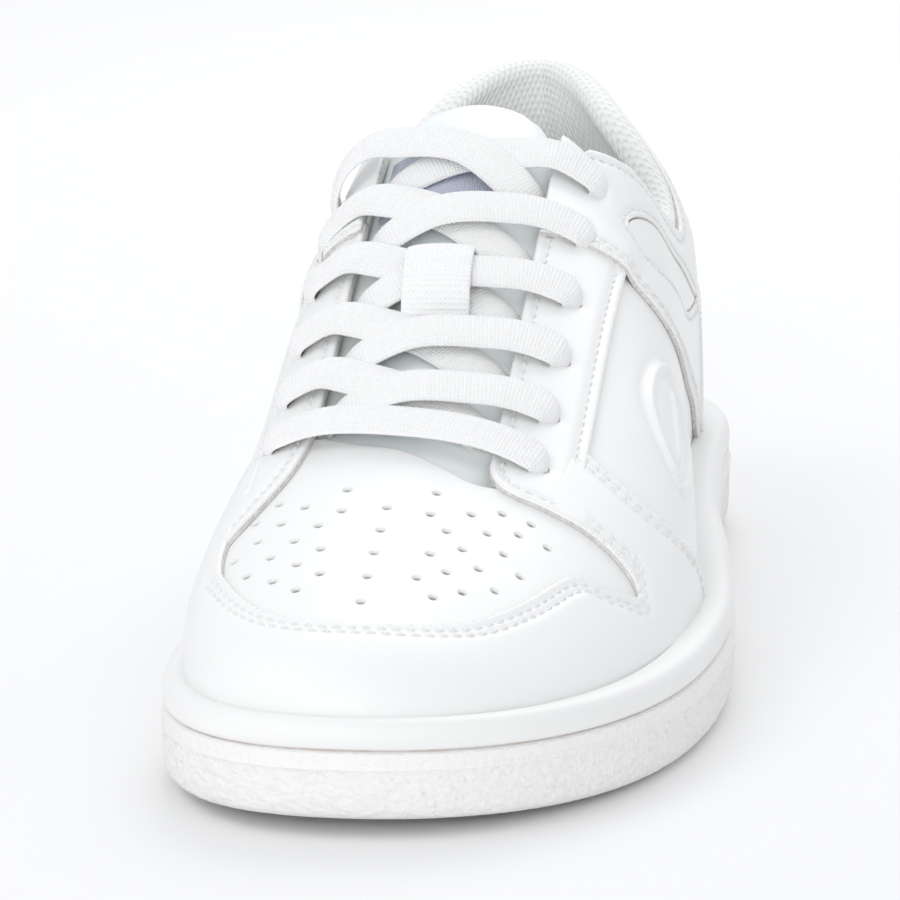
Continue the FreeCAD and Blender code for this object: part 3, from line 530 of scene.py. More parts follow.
def triangulated(points, rings, metric):
    """Chart points in use and their triangles, all turned the same way, inside the rings."""
    edges = []
    start = 0
    for ring in rings:
        n = len(ring)
        edges += [(start + i, start + (i + 1) % n) for i in range(n)]
        start += n
    result = delaunay_2d_cdt([Vector(p) for p in points * metric], edges, [], 0, 1e-4)
    flat = np.array([tuple(v) for v in result[0]]) / metric
    triangles = np.array(result[2])
    triangles = triangles[within(flat[triangles].mean(1), rings)]
    a, b, c = (flat[triangles[:, k]] for k in range(3))
    area = (b[:, 0] - a[:, 0]) * (c[:, 1] - a[:, 1]) - (b[:, 1] - a[:, 1]) * (c[:, 0] - a[:, 0])
    triangles[area < 0] = triangles[area < 0][:, ::-1]
    used = np.unique(triangles)
    lookup = np.full(len(flat), -1)
    lookup[used] = np.arange(len(used))
    return flat[used], lookup[triangles]


def open_edges(triangles):
    """Edges that belong to one triangle only."""
    edges = np.vstack([triangles[:, [0, 1]], triangles[:, [1, 2]], triangles[:, [2, 0]]]).tolist()
    present = set(map(tuple, edges))
    return [edge for edge in edges if (edge[1], edge[0]) not in present]


def edge_drop(gap):
    """How far a panel's top face is rounded down at a distance from its edge."""
    arc = np.sqrt(np.maximum(EDGE_ROUND ** 2 - (EDGE_ROUND - gap) ** 2, 0))
    return np.where(gap < EDGE_ROUND, EDGE_ROUND - arc, 0)


def sheet(name, chart, outline, layer, materials, holes=(), seams=(), relief=None, spacing=2.2, dense=(),
          lift=None):
    """A closed panel over a chart, with rounded raw edges, real holes, sewn-in seams and relief.

    layer is (bottom, top) as distances out from the chart; seams are (chart path, depth, half width).
    relief(points in the chart) adds height to the top face, lift to both faces; dense are extra points.
    """
    rings = [spaced(outline, 1.1, closed=True)] + [np.asarray(h) for h in holes]
    if ring_area(rings[0]) < 0:
        rings[0] = rings[0][::-1]
    borders = [chart(ring) for ring in rings]
    seam_lines = [chart(path) for path, _, _ in seams]
    metric = np.array([np.linalg.norm(chart(rings[0] + step) - chart(rings[0] - step), axis=1).mean()
                       for step in ([0.5, 0], [0, 0.5])])
    guides = guide_points(chart, rings, borders, seams, dense)
    filler = filler_points(chart, rings, borders, seam_lines, metric, spacing)
    flat, triangles = triangulated(np.vstack(rings + [guides, filler]), rings, metric)
    rim = open_edges(triangles)
    gap = clearance(chart, flat, borders)
    gap[sorted({i for edge in rim for i in edge})] = 0.0
    height = layer[1] - edge_drop(gap)
    space = chart(flat)
    for (_, depth, half), line in zip(seams, seam_lines):
        height = height - depth * np.exp(-(distance_to(space, line, closed=False) / half) ** 2)
    if relief is not None:
        height = height + relief(flat)
    n = len(flat)
    base = np.full(n, float(layer[0]))
    if lift is not None:
        height, base = height + lift(flat), base + lift(flat)
    faces = triangles.tolist() + (triangles[:, ::-1] + n).tolist()
    kinds = [0] * (2 * len(triangles))
    for i, j in rim:
        faces.append((j, i, i + n, j + n))
        kinds.append(1 if len(materials) > 1 else 0)
    return make_object(name, np.vstack([chart(flat, height), chart(flat, base)]), faces, materials, kinds)


def ring_area(ring):
    """Signed area of a closed outline."""
    x, y = ring[:, 0], ring[:, 1]
    return (x * np.roll(y, -1) - y * np.roll(x, -1)).sum() / 2


def circle_hole(chart, centre, radius, count=14):
    """A round hole in chart coordinates that comes out round on the surface."""
    centre = np.asarray(centre, float)
    h = 0.5
    pa = np.linalg.norm(chart(np.array([centre + [h, 0]])) - chart(np.array([centre - [h, 0]])))
    pb = np.linalg.norm(chart(np.array([centre + [0, h]])) - chart(np.array([centre - [0, h]])))
    angle = np.linspace(0, 2 * math.pi, count, endpoint=False)
    return centre + np.column_stack([np.cos(angle) / pa, np.sin(angle) / pb]) * radius


# ---- Sewing --------------------------------------------------------------------------------------
STITCH_SIDES, STITCH_RINGS = 7, 7
STITCH_TURN, STITCH_LOOSE = 7, 4          # degrees each stitch turns from its row, and a random part
STITCH_SUNK, STITCH_ARCH, STITCH_FLAT = 0.3, 0.34, 1.15


def stitch_frame(at, lengths, space, lifted):
    """Middle, forward, outward and sideways directions of the stitch at a distance along its row."""
    def position(distance, path):
        return np.array([np.interp(distance, lengths, path[:, c]) for c in range(3)])
    centre = position(at, space)
    out = position(at, lifted) - centre
    ahead = position(at + 0.6, space) - position(at - 0.6, space)
    ahead = ahead / max(np.linalg.norm(ahead), 1e-9)
    out = out - ahead * (out @ ahead)
    out = out / np.linalg.norm(out)
    cross = np.cross(ahead, out)
    turn = math.radians(STITCH_TURN + STITCH_LOOSE * RANDOM.random())
    turned = ahead * math.cos(turn) + cross * math.sin(turn)
    cross = cross * math.cos(turn) - ahead * math.sin(turn)
    return centre, turned, out, cross


def stitch_points(centre, ahead, out, cross):
    """Rings of points of one tapering, arched thread stitch, then its two end points."""
    points = []
    for t in np.linspace(0.04, 0.96, STITCH_RINGS):
        reach = (1 - np.abs(2 * t - 1) ** 4) ** 0.5
        rise = np.sin(math.pi * t) * STITCH_ARCH - STITCH_SUNK
        middle = centre + ahead * ((t - 0.5) * STITCH_LENGTH) + out * rise
        for q in np.linspace(0, 2 * math.pi, STITCH_SIDES, endpoint=False):
            spoke = cross * math.cos(q) * STITCH_FLAT + out * math.sin(q)
            points.append(middle + spoke * reach * STITCH_RADIUS)
    for end in (-1, 1):
        points.append(centre + end * ahead * STITCH_LENGTH / 2 - out * STITCH_SUNK)
    return points


def stitch_faces(base):
    """Faces of one stitch whose points start at an index."""
    faces = []
    last = base + STITCH_RINGS * STITCH_SIDES
    top = last - STITCH_SIDES
    for i in range(STITCH_RINGS - 1):
        for j in range(STITCH_SIDES):
            a, b = base + i * STITCH_SIDES + j, base + i * STITCH_SIDES + (j + 1) % STITCH_SIDES
            faces.append((a, b, b + STITCH_SIDES, a + STITCH_SIDES))
    for j in range(STITCH_SIDES):
        following = (j + 1) % STITCH_SIDES
        faces.append((last, base + following, base + j))
        faces.append((last + 1, top + j, top + following))
    return faces


def stitches(name, rows, material):
    """Thread stitches along rows of (chart, path, offset of the surface)."""
    points, faces = [], []
    for chart, path, offset in rows:
        fine = spaced(path, 0.4)
        space = chart(fine, offset + np.zeros(len(fine)))
        lifted = chart(fine, offset + np.ones(len(fine)))
        lengths = travelled(space)
        count = int(lengths[-1] / STITCH_PITCH)
        for k in range(count):
            faces += stitch_faces(len(points))
            at = (k + 0.5) * lengths[-1] / count
            points += stitch_points(*stitch_frame(at, lengths, space, lifted))
    return make_object(name, points, faces, [material], sharp=math.radians(80))


def grid_faces(rows, columns, start=0, wrap_rows=False, wrap_columns=False, flip=False):
    """Four-sided faces of a grid of points numbered row by row, optionally closed either way."""
    faces = []
    for i in range(rows if wrap_rows else rows - 1):
        near, far = start + i * columns, start + (i + 1) % rows * columns
        for j in range(columns if wrap_columns else columns - 1):
            k = (j + 1) % columns
            corners = (near + j, near + k, far + k, far + j)
            faces.append((corners[0], corners[3], corners[2], corners[1]) if flip else corners)
    return faces


def grid_object(name, rows, materials, wrap_rows=False, wrap_columns=False, caps=False, uv=None,
                flip=False):
    """A mesh from a grid of points, optionally closed either way or capped at its first and last row."""
    rows = np.asarray(rows, float)
    n, m = rows.shape[:2]
    faces = grid_faces(n, m, 0, wrap_rows, wrap_columns, flip)
    points = rows.reshape(-1, 3)
    if uv is not None:
        uv = np.asarray(uv).reshape(-1, 2)
    if caps:
        for row, reverse in ((0, not flip), (n - 1, flip)):
            middle = len(points)
            points = np.vstack([points, rows[row].mean(0)])
            for j in range(m):
                a, b = row * m + j, row * m + (j + 1) % m
                faces.append((middle, b, a) if reverse else (middle, a, b))
        if uv is not None:
            uv = np.vstack([uv, [[0, 0], [0, 0]]])
    return make_object(name, points, faces, materials, uv=uv)


# ---- Materials -----------------------------------------------------------------------------------
class Shader:
    """A Principled material with a few short ways to add nodes; patterns are sized in millimetres."""

    def __init__(self, name, color, roughness, **inputs):
        self.material = bpy.data.materials.new(name)
        self.material.use_nodes = True
        self.tree = self.material.node_tree
        self.bsdf = self.tree.nodes["Principled BSDF"]
        self.color = color
        self.bsdf.inputs["Base Color"].default_value = (*color, 1)
        self.bsdf.inputs["Roughness"].default_value = roughness
        for key, value in inputs.items():
            self.bsdf.inputs[key.replace("_", " ")].default_value = value
        coordinates = self.tree.nodes.new("ShaderNodeTexCoord")
        self.space = self.scaled(coordinates.outputs["Object"], 1 / MM)
        self.along = self.scaled(coordinates.outputs["UV"], 1.0)

    def scaled(self, vector, factor):
        scale = self.tree.nodes.new("ShaderNodeVectorMath")
        scale.operation = "SCALE"
        scale.inputs["Scale"].default_value = factor
        self.tree.links.new(vector, scale.inputs[0])
        return scale.outputs[0]

    def noise(self, size, detail=3.0, space=None):
        node = self.tree.nodes.new("ShaderNodeTexNoise")
        node.inputs["Scale"].default_value = 1 / size
        node.inputs["Detail"].default_value = detail
        self.tree.links.new(space or self.space, node.inputs["Vector"])
        return node.outputs["Fac"]

    def cells(self, size):
        node = self.tree.nodes.new("ShaderNodeTexVoronoi")
        node.feature = "SMOOTH_F1"
        node.inputs["Scale"].default_value = 1 / size
        self.tree.links.new(self.space, node.inputs["Vector"])
        return node.outputs["Distance"]

    def math(self, operation, a, b=0.0):
        node = self.tree.nodes.new("ShaderNodeMath")
        node.operation = operation
        for socket, value in zip(node.inputs, (a, b)):
            if isinstance(value, (int, float)):
                socket.default_value = value
            else:
                self.tree.links.new(value, socket)
        return node.outputs[0]

    def weave(self, pitch_u, pitch_v, diagonal=False, space=None):
        """Crossed threads: the product of two waves, straight or on the diagonal."""
        split = self.tree.nodes.new("ShaderNodeSeparateXYZ")
        self.tree.links.new(space or self.along, split.inputs[0])
        u = self.math("MULTIPLY", split.outputs[0], 2 * math.pi / pitch_u)
        v = self.math("MULTIPLY", split.outputs[1], 2 * math.pi / pitch_v)
        if diagonal:
            u, v = self.math("ADD", u, v), self.math("SUBTRACT", u, v)
        return self.math("MULTIPLY", self.math("SINE", u), self.math("SINE", v))

    def bump(self, height, depth, strength=1.0):
        node = self.tree.nodes.new("ShaderNodeBump")
        node.inputs["Strength"].default_value = strength
        node.inputs["Distance"].default_value = depth * MM
        self.tree.links.new(height, node.inputs["Height"])
        last = self.bsdf.inputs["Normal"]
        if last.is_linked:
            self.tree.links.new(last.links[0].from_socket, node.inputs["Normal"])
        self.tree.links.new(node.outputs["Normal"], last)
        return self

    def tint(self, factor, other, low=0.35, high=0.65):
        """The base colour shifts to another colour where the factor is high."""
        ramp = self.tree.nodes.new("ShaderNodeMapRange")
        ramp.inputs["From Min"].default_value = low
        ramp.inputs["From Max"].default_value = high
        self.tree.links.new(factor, ramp.inputs["Value"])
        mix = self.tree.nodes.new("ShaderNodeMix")
        mix.data_type = "RGBA"
        last = self.bsdf.inputs["Base Color"]
        if last.is_linked:
            self.tree.links.new(last.links[0].from_socket, mix.inputs["A"])
        else:
            mix.inputs["A"].default_value = (*self.color, 1)
        mix.inputs["B"].default_value = (*other, 1)
        self.tree.links.new(ramp.outputs["Result"], mix.inputs["Factor"])
        self.tree.links.new(mix.outputs["Result"], last)
        return self

    def rough(self, factor, low, high):
        node = self.tree.nodes.new("ShaderNodeMapRange")
        node.inputs["To Min"].default_value = low
        node.inputs["To Max"].default_value = high
        self.tree.links.new(factor, node.inputs["Value"])
        self.tree.links.new(node.outputs["Result"], self.bsdf.inputs["Roughness"])
        return self


def leather(name, color, warm):
    """Smooth coated leather: fine pores, a slow waviness and slightly uneven gloss."""
    s = Shader(name, color, 0.42)
    s.tint(s.noise(38.0), warm).rough(s.noise(9.0, 4.0), 0.36, 0.5)
    s.bump(s.cells(0.75), 0.05, 0.55).bump(s.noise(0.5, 5.0), 0.03, 0.6)
    return s.bump(s.noise(13.0), 0.22, 0.5).material


def raw_edge():
    """Cut leather edge with loose fibres."""
    s = Shader("raw_leather_edge", (0.78, 0.775, 0.76), 0.9)
    return s.tint(s.noise(0.9, 5.0), (0.6, 0.59, 0.57)).bump(s.noise(0.35, 4.0), 0.25).material


def sole_rubber():
    """Moulded rubber with a stippled wall and a little dirt in its hollows."""
    s = Shader("sole_rubber", (0.9, 0.895, 0.885), 0.6)
    s.tint(s.noise(26.0, 4.0), (0.89, 0.883, 0.868)).rough(s.noise(3.0, 4.0), 0.5, 0.74)
    return s.bump(s.noise(0.5, 3.0), 0.2).bump(s.cells(1.1), 0.22).material


def rim_rubber():
    """Smooth rubber with a slow waviness."""
    s = Shader("rim_rubber", (0.9, 0.9, 0.897), 0.5)
    s.tint(s.noise(45.0), (0.86, 0.86, 0.855)).rough(s.noise(5.0, 5.0), 0.42, 0.58)
    return s.bump(s.noise(0.6, 5.0), 0.02).bump(s.noise(17.0), 0.2, 0.6).material


def lace_cotton():
    """Flat woven cotton: crossing yarns, fine fibres and fuzz, with painted shade in grey where the yarn
    relief is lowest.
    """
    s = Shader("lace_cotton", (0.965, 0.965, 0.965), 0.88, Sheen_Weight=0.25, Sheen_Roughness=0.6)
    yarns = s.weave(1.5, 1.5, diagonal=True)
    # painted shade: grey where the yarn relief is lowest
    s.tint(s.math("MULTIPLY", yarns, -1.0), (0.88, 0.88, 0.88), 0.5, 1.0)
    return s.bump(yarns, 0.12, 0.8).bump(s.noise(0.22, 3.0), 0.1, 0.7).material


def cloth(name, color, painted_weave_shade, pitch_u, pitch_v, depth, diagonal=False, mapped=True):
    """Textile with crossed yarns: along the piece itself if mapped, else along the shoe's x and y. The
    second colour is painted shade, laid where the yarn relief is lowest.
    """
    s = Shader(name, color, 0.9, Sheen_Weight=0.2, Sheen_Roughness=0.5)
    yarns = s.weave(pitch_u, pitch_v, diagonal, None if mapped else s.space)
    # painted shade: the second colour darkens the cloth where the yarn relief is lowest
    s.tint(s.math("MULTIPLY", yarns, -1.0), painted_weave_shade, 0.3, 0.95)
    return s.bump(yarns, depth).bump(s.noise(0.25, 3.0), 0.08).material


def plain(name, color, roughness, grain, depth, other):
    """A simple grained material that shifts slowly between two colours."""
    s = Shader(name, color, roughness)
    return s.tint(s.noise(grain * 12), other).bump(s.noise(grain, 4.0), depth).material


def thread_cotton():
    """Sewing thread."""
    s = Shader("thread_cotton", (0.88, 0.88, 0.88), 0.75)
    return s.tint(s.noise(0.4), (0.76, 0.76, 0.76)).bump(s.noise(0.25), 0.06).material


LEATHER = leather("leather", (0.895, 0.9, 0.897), (0.885, 0.89, 0.887))
TONGUE_LEATHER = leather("tongue_leather", (0.92, 0.965, 0.965), (0.905, 0.965, 0.95))
RAW = raw_edge()
THREAD = thread_cotton()
RUBBER = sole_rubber()
RIM = rim_rubber()
LACE = lace_cotton()
GLUE = plain("glue_line", (0.8, 0.66, 0.62), 0.5, 0.8, 0.05, (0.86, 0.8, 0.78))
# the second colour of each cloth below is painted shade in the low spots of its weave
COLLAR_MESH = cloth("collar_mesh", (0.965, 0.97, 0.96), (0.8, 0.815, 0.8), 3.0, 2.6, 0.14)
LINING_CLOTH = cloth("lining_textile", (0.93, 0.935, 0.93), (0.78, 0.79, 0.79), 1.6, 1.6, 0.15,
                     mapped=False)
SOCKLINER_CLOTH = cloth("sockliner_cloth", (0.8, 0.82, 0.84), (0.6, 0.62, 0.64), 2.2, 1.8, 0.2,
                        mapped=False)
WEBBING = cloth("webbing", (0.95, 0.95, 0.95), (0.86, 0.86, 0.865), 1.1, 0.9, 0.05)
LABEL_TWILL = cloth("label_twill", (0.6, 0.64, 0.76), (0.45, 0.49, 0.62), 1.2, 1.2, 0.1, diagonal=True)
TAPE = cloth("reinforcement", (0.8, 0.8, 0.8), (0.62, 0.62, 0.62), 1.4, 1.4, 0.12, mapped=False)
STIFFENER = plain("stiffener", (0.7, 0.67, 0.6), 0.6, 0.8, 0.08, (0.62, 0.6, 0.54))
BOARD = plain("board", (0.62, 0.56, 0.45), 0.85, 0.6, 0.15, (0.52, 0.46, 0.36))
MIDSOLE = plain("midsole_foam", (0.8, 0.8, 0.78), 0.8, 0.8, 0.15, (0.74, 0.74, 0.7))
AGLET = plain("aglet", (0.85, 0.87, 0.88), 0.2, 1.2, 0.02, (0.8, 0.83, 0.85))


# ---- Sole ----------------------------------------------------------------------------------------
def sole_outline(count):
    """The sole's plan outline as evenly spaced (x, station) points, and outward unit normals."""
    share = (1 - np.cos(np.linspace(0, math.pi, 700))) / 2
    station = share * LENGTH
    lateral = np.column_stack([plan_x(station, 1), station])
    medial = np.column_stack([plan_x(station, -1), station])[::-1]
    ring = spaced(np.vstack([lateral, medial[1:-1]]), 0.25, closed=True)
    for _ in range(6):
        ring = (np.roll(ring, 1, axis=0) + 2 * ring + np.roll(ring, -1, axis=0)) / 4
    ring = spaced(ring, np.linalg.norm(np.diff(ring, axis=0), axis=1).sum() / count, closed=True)[:count]
    tangent = np.roll(ring, -1, axis=0) - np.roll(ring, 1, axis=0)
    normal = normalized(np.column_stack([tangent[:, 1], -tangent[:, 0]]))
    if (normal * (ring - ring.mean(0))).sum() < 0:
        normal = -normal
    return ring, normal


def swept_ring(name, profile, material, count=900, base=groove_height, roughen=None):
    """A profile of (inset, height over a base line) run around the sole."""
    ring, normal = sole_outline(count)
    level = base(ring[:, 1])
    rows = []
    for inset, rise in profile:
        plan = ring - normal * inset
        rows.append(np.column_stack([plan, level + rise]))
    rows = placed(np.array(rows))
    if roughen is not None:
        rows = roughen(rows, normal, level)
    return grid_object(name, rows, [material], wrap_rows=True, wrap_columns=True)


def make_rim():
    """Smooth rounded rubber rim around the top of the sole."""
    profile = smooth([(1.3, 0.05), (0.45, 0.35), (0.05, 1.2), (0.0, 2.6), (0.25, 3.9), (1.0, 4.95),
                      (2.2, RIM_HEIGHT), (3.8, RIM_HEIGHT - 0.1), (RIM_WIDTH, RIM_HEIGHT - 0.9)], 0.45)
    inner = smooth([(RIM_WIDTH, RIM_HEIGHT - 0.9), (RIM_WIDTH, 0.05)], 1.0)
    under = smooth([(RIM_WIDTH, 0.05), (1.3, 0.05)], 1.5)
    obj = swept_ring("foxing_band", np.vstack([profile[:-1], inner[:-1], under[:-1]]), RIM)
    return finish_piece(obj, "shoe", "rim_rubber", "foxing_band")


def make_glue_line():
    """Thin bead of cement in the groove between the rim and the sole's wall."""
    profile = [(1.9 + 0.75 * math.cos(a), -0.06 + 0.3 * math.sin(a))
               for a in np.linspace(0, 2 * math.pi, 9)[:-1]]
    obj = swept_ring("glue_line", profile[::-1], GLUE, count=500)
    return finish_piece(obj, "shoe", "sole_rubber")


GROUND_GAP = 0.02             # keeps the sole's lowest points just above the ground
WALL_LINE = -3.1              # height of the thin raised line under the groove
WALL_LIP = 0.9                # the wall's lip, under the groove
WALL_TOP = ((6.4, -0.7), (3.2, -0.12), (1.6, -0.12), (0.7, -0.2), (0.2, -0.5))
WALL_INSIDE = ((5.8, 0.0), (6.8, 0.0), (6.8, 0.5), (6.8, 1.0))      # inset, share of the height


def wall_grain(row):
    """Fine unevenness of moulded rubber at each point."""
    return np.array([noise.noise(Vector(p) * 1.2) + 0.5 * noise.noise(Vector(p) * 2.4) for p in row])


def make_outsole():
    """Cup sole: stippled side wall with a raised line, rounded bottom edge and a lugged tread."""
    ring, normal = sole_outline(1150)
    count = len(ring)
    groove = groove_height(ring[:, 1])
    ground = toe_spring(ring[:, 1])
    wall = groove - ground
    shares = np.linspace(0, 1, 40)
    shape = curve([(0, 0.0), (0.5, 0.12), (0.72, 0.5), (0.86, 1.5), (0.95, 3.2), (1.0, 5.4)])
    rows = [np.column_stack([ring - normal * inset, groove + rise]) for inset, rise in WALL_TOP]
    for share in shares[2:]:
        drop = WALL_LIP + (wall - WALL_LIP) * (1 - (1 - share) ** 1.25)
        plan = ring - normal * shape(share)
        rows.append(np.column_stack([plan, groove - drop]))
    rows = placed(np.array(rows))
    outward = np.column_stack([normal, np.zeros(count)])
    for i, row in enumerate(rows[4:-1], start=4):
        under = groove - row[:, 2]
        line = 0.4 * np.exp(-((under + WALL_LINE) / 0.4) ** 2)
        amount = np.where(under > -WALL_LINE + 0.5, 0.36, 0.06) * np.clip((wall - under) / 1.5, 0, 1)
        rows[i] = row + outward * (line + wall_grain(row) * amount)[:, None]
    inner = []
    for inset, share in WALL_INSIDE:
        z = ground + GROUND_GAP + share * (wall - 0.8)
        inner.append(np.column_stack([ring - normal * inset, z]))
    rows = np.vstack([rows, placed(np.array(inner))])
    obj = grid_object("outsole_wall", rows, [RUBBER], wrap_rows=True, wrap_columns=True)
    finish_piece(obj, "shoe", "sole_rubber", "outsole")
    make_tread()


TREAD_PITCH, TREAD_DEPTH, TREAD_THICK = 7.0, 1.5, 3.2
TREAD_WAVE, TREAD_SWING = 16.0, 5.0


def tread_relief(ab):
    """Wavy grooves across the bottom and a plain border around it."""
    x, station = ab[:, 0], ab[:, 1]
    phase = (station + TREAD_SWING * np.abs((x / TREAD_WAVE) % 2 - 1)) / TREAD_PITCH % 1
    groove = np.clip((np.abs(phase - 0.5) - 0.3) / 0.07, 0, 1)
    border = np.minimum(plan_x(station, 1) - x, x - plan_x(station, -1))
    ends = np.minimum(station, LENGTH - station)
    field = np.clip((np.minimum(border, ends) - 13.0) / 0.8, 0, 1)
    return groove * field * TREAD_DEPTH


def make_tread():
    """The bottom of the cup, with its tread cut upwards into it."""
    ring, normal = sole_outline(520)
    outline = ring - normal * 5.2

    def chart(ab, offset=0.0):
        base = placed(np.column_stack([ab, toe_spring(ab[:, 1])]))
        base[:, 2] += np.maximum(offset, GROUND_GAP)
        return base
    obj = sheet("outsole_tread", chart, outline, (TREAD_THICK, TREAD_THICK), [RUBBER],
                spacing=1.5,
                relief=lambda ab: tread_relief(ab) - TREAD_THICK + GROUND_GAP)
    return finish_piece(obj, "shoe", "sole_rubber")


# ---- Panels of the upper -------------------------------------------------------------------------
PERFORATION_MIDDLE, PERFORATION_COLUMN = -11.0, (32.0, 40.0, 48.0, 56.0, 64.0)
PERFORATION_STEP = (3.6, -4.9)
# slanting lines of perforations beside the middle column: first hole (across, station), how many
PERFORATION_LINES = [((8.8, 41.0), 2), ((10.0, 49.5), 3), ((8.2, 63.0), 5), ((15.4, 65.5), 4),
                     ((20.7, 68.5), 2), ((26.0, 68.5), 2), ((8.3, 70.5), 1)]
VAMP_REAR = [(-40.5, 92), (-33, 93), (-27, 90.5), (-19.4, 87), (-11.8, 85), (-3.1, 80), (4.1, 76),
             (12, 78), (24, 84)]
VAMP_SIDE = [(24, 84), (33, 79), (36.5, 71), (34.5, 62), (29.5, 52), (24, 40), (17, 30), (8, 22),
             (-3, 17), (-15, 16), (-26, 19), (-34, 25), (-40, 37), (-42.6, 52), (-42.4, 70), (-40.5, 92)]
CAP_EDGE = [(33.8, 67.5), (28.5, 61.0), (24.2, 58.6), (21.9, 55), (17.7, 45), (13.3, 37), (7.0, 29.5),
            (-3.0, 24.2), (-12.0, 22.9), (-20.0, 24.2), (-27.0, 28.2), (-33.4, 36), (-38.2, 46)]
CAP_WING = [(17.5, 73.6), (24, 73.6), (31.5, 72.0), (34.2, 70.0), (33.8, 67.5)]
CAP_HIDDEN = {1: [(19.5, 96), (17.5, 80), (17.5, 73.6)],
              -1: [(-38.2, 46), (-39.2, 54), (-39.0, 64), (-38.0, 80), (-37.5, 96)]}
SEWN = 0.42                   # how deep a seam pulls the leather in
THREAD_LIFT = 0.1             # how high a stitch's middle lies over its seam
SEAM_HALF = 0.75              # half the width a seam pulls in


def sewn_in(paths, half=SEAM_HALF):
    """Seams along paths, for a sheet."""
    return [(path, SEWN, half) for path in paths]


def thread_rows(chart, paths, top):
    """Stitch rows along paths on a panel whose top face is at a distance from the chart."""
    return [(chart, path, top - SEWN + THREAD_LIFT) for path in paths]


def perforations():
    """Centres of the toe's perforations: a middle column, and slanting lines mirrored beside it."""
    centres = [(PERFORATION_MIDDLE, station) for station in PERFORATION_COLUMN]
    for (across, station), count in PERFORATION_LINES:
        for k in range(count):
            for side in (1, -1):
                x = PERFORATION_MIDDLE + side * (across + k * PERFORATION_STEP[0])
                centres.append((x, station + k * PERFORATION_STEP[1]))
    return centres


def make_vamp():
    """Perforated toe box, from the throat to under the toe cap."""
    holes = [circle_hole(plan_chart, c, PERFORATION_RADIUS) for c in perforations()]
    around = [circle_hole(plan_chart, c, PERFORATION_RADIUS + 0.35) for c in perforations()]
    obj = sheet("vamp", plan_chart, joined(VAMP_REAR, VAMP_SIDE), BASE, [LEATHER, RAW], holes=holes,
                spacing=1.9, dense=np.vstack(around))
    return finish_piece(obj, "shoe", "leather", "vamp")


def floor_run(start, stop):
    """The bottom edge of the upper between two places around it, as a chart path."""
    around = np.arange(start, stop, math.copysign(0.004, stop - start))
    station = face_point(around, np.full(len(around), 16.0))[:, 1]
    return np.column_stack([around * AROUND_SCALE, upper_floor(station)])


CAP_SEAM_FOOT = 107.5
CAP_SEAM = [(104, 25), (100, 29.5), (94.5, 36), (93.2, 42.8), (96.0, 48)]


def foot_point(station):
    """(station, height) on the upper's bottom edge."""
    return station, float(upper_floor(station))


def cap_seam(side):
    """The toe cap's rear edge on one side, from the sole up to the eyestay."""
    return from_side(side, smooth([foot_point(CAP_SEAM_FOOT)] + CAP_SEAM, 1.0))


def make_toe_cap():
    """Overlay around the toe with a wing up each side, double-stitched along its edges."""
    lateral_seam, medial_seam = cap_seam(1), cap_seam(-1)
    bottom = floor_run(medial_seam[0, 0] / AROUND_SCALE, lateral_seam[0, 0] / AROUND_SCALE)
    wing, edge = (from_plan(smooth(points, 0.8)) for points in (CAP_WING, CAP_EDGE))
    under_lateral, under_medial = (from_plan(smooth(CAP_HIDDEN[side], 1.0)) for side in (1, -1))
    outline = np.vstack([bottom, lateral_seam[1:], under_lateral[1:], wing[1:], edge[1:-1],
                         under_medial[1:], medial_seam[::-1][1:-1]])
    rows = []
    for inset in (1.9, 3.6):
        rows.append(shifted(wall_chart, edge, inset))
        rows.append(shifted(wall_chart, wing[8:], inset))
        rows.append(shifted(wall_chart, lateral_seam, inset))
        rows.append(shifted(wall_chart, medial_seam, -inset))
    obj = sheet("toe_cap", wall_chart, outline, OVERLAY, [LEATHER, RAW], seams=sewn_in(rows),
                spacing=2.3)
    finish_piece(obj, "shoe", "leather", "toe_cap")
    sewing = stitches("toe_cap_stitching", thread_rows(wall_chart, rows, OVERLAY[1]), THREAD)
    return finish_piece(sewing, "shoe", "leather")


QUARTER_FRONT, QUARTER_REAR = 88.0, 246.0
QUARTER_INNER = {1: 16.5, -1: -38.6}
QUARTER_UNDER = [(QUARTER_REAR, 30), (232, 38), (210, 47), (190, 55), (176, 63), (169, 70), (167, 74)]


def make_quarter(side):
    """Base leather of one side, with a plain raised lozenge on the outer side."""
    inner = QUARTER_INNER[side]
    foot = floor_run(*(abs(around_at(side, station, 16.0)) for station in (QUARTER_FRONT, QUARTER_REAR)))
    foot[:, 0] *= side
    back = from_side(side, smooth([foot_point(QUARTER_REAR), (QUARTER_REAR, 30)]))
    under = from_side(side, smooth(QUARTER_UNDER))
    top = from_plan(smooth([(inner, 166), (inner, 88)], 1.0))
    outline = np.vstack([foot, back[1:], under[1:], top[1:]])
    dense, relief = (), None
    if side > 0:
        grid = np.meshgrid(np.arange(*LOZENGE_STATIONS), np.arange(*LOZENGE_HEIGHTS))
        dense = from_side(1, np.column_stack([values.ravel() for values in grid]))
        relief = lozenge
    name = "quarter_" + SIDE_NAME[side]
    obj = sheet(name, wall_chart, outline, BASE, [LEATHER, RAW], relief=relief, spacing=2.6,
                dense=dense)
    return finish_piece(obj, "shoe", "leather", name)


LOZENGE_CENTRE, LOZENGE_SIZE, LOZENGE_TILT = (129.0, 46.7), (16.6, 7.0), math.radians(28)
LOZENGE_POWER = 1.7
# extra mesh points under the lozenge: from, to, step
LOZENGE_STATIONS, LOZENGE_HEIGHTS = (109, 149, 0.42), (35, 59, 0.42)


def lozenge_reach(along, across):
    """Distance from the lozenge's middle as a share of its size: 1 on its outline."""
    shares = np.abs(along) / LOZENGE_SIZE[0], np.abs(across) / LOZENGE_SIZE[1]
    return (shares[0] ** LOZENGE_POWER + shares[1] ** LOZENGE_POWER) ** (1 / LOZENGE_POWER)


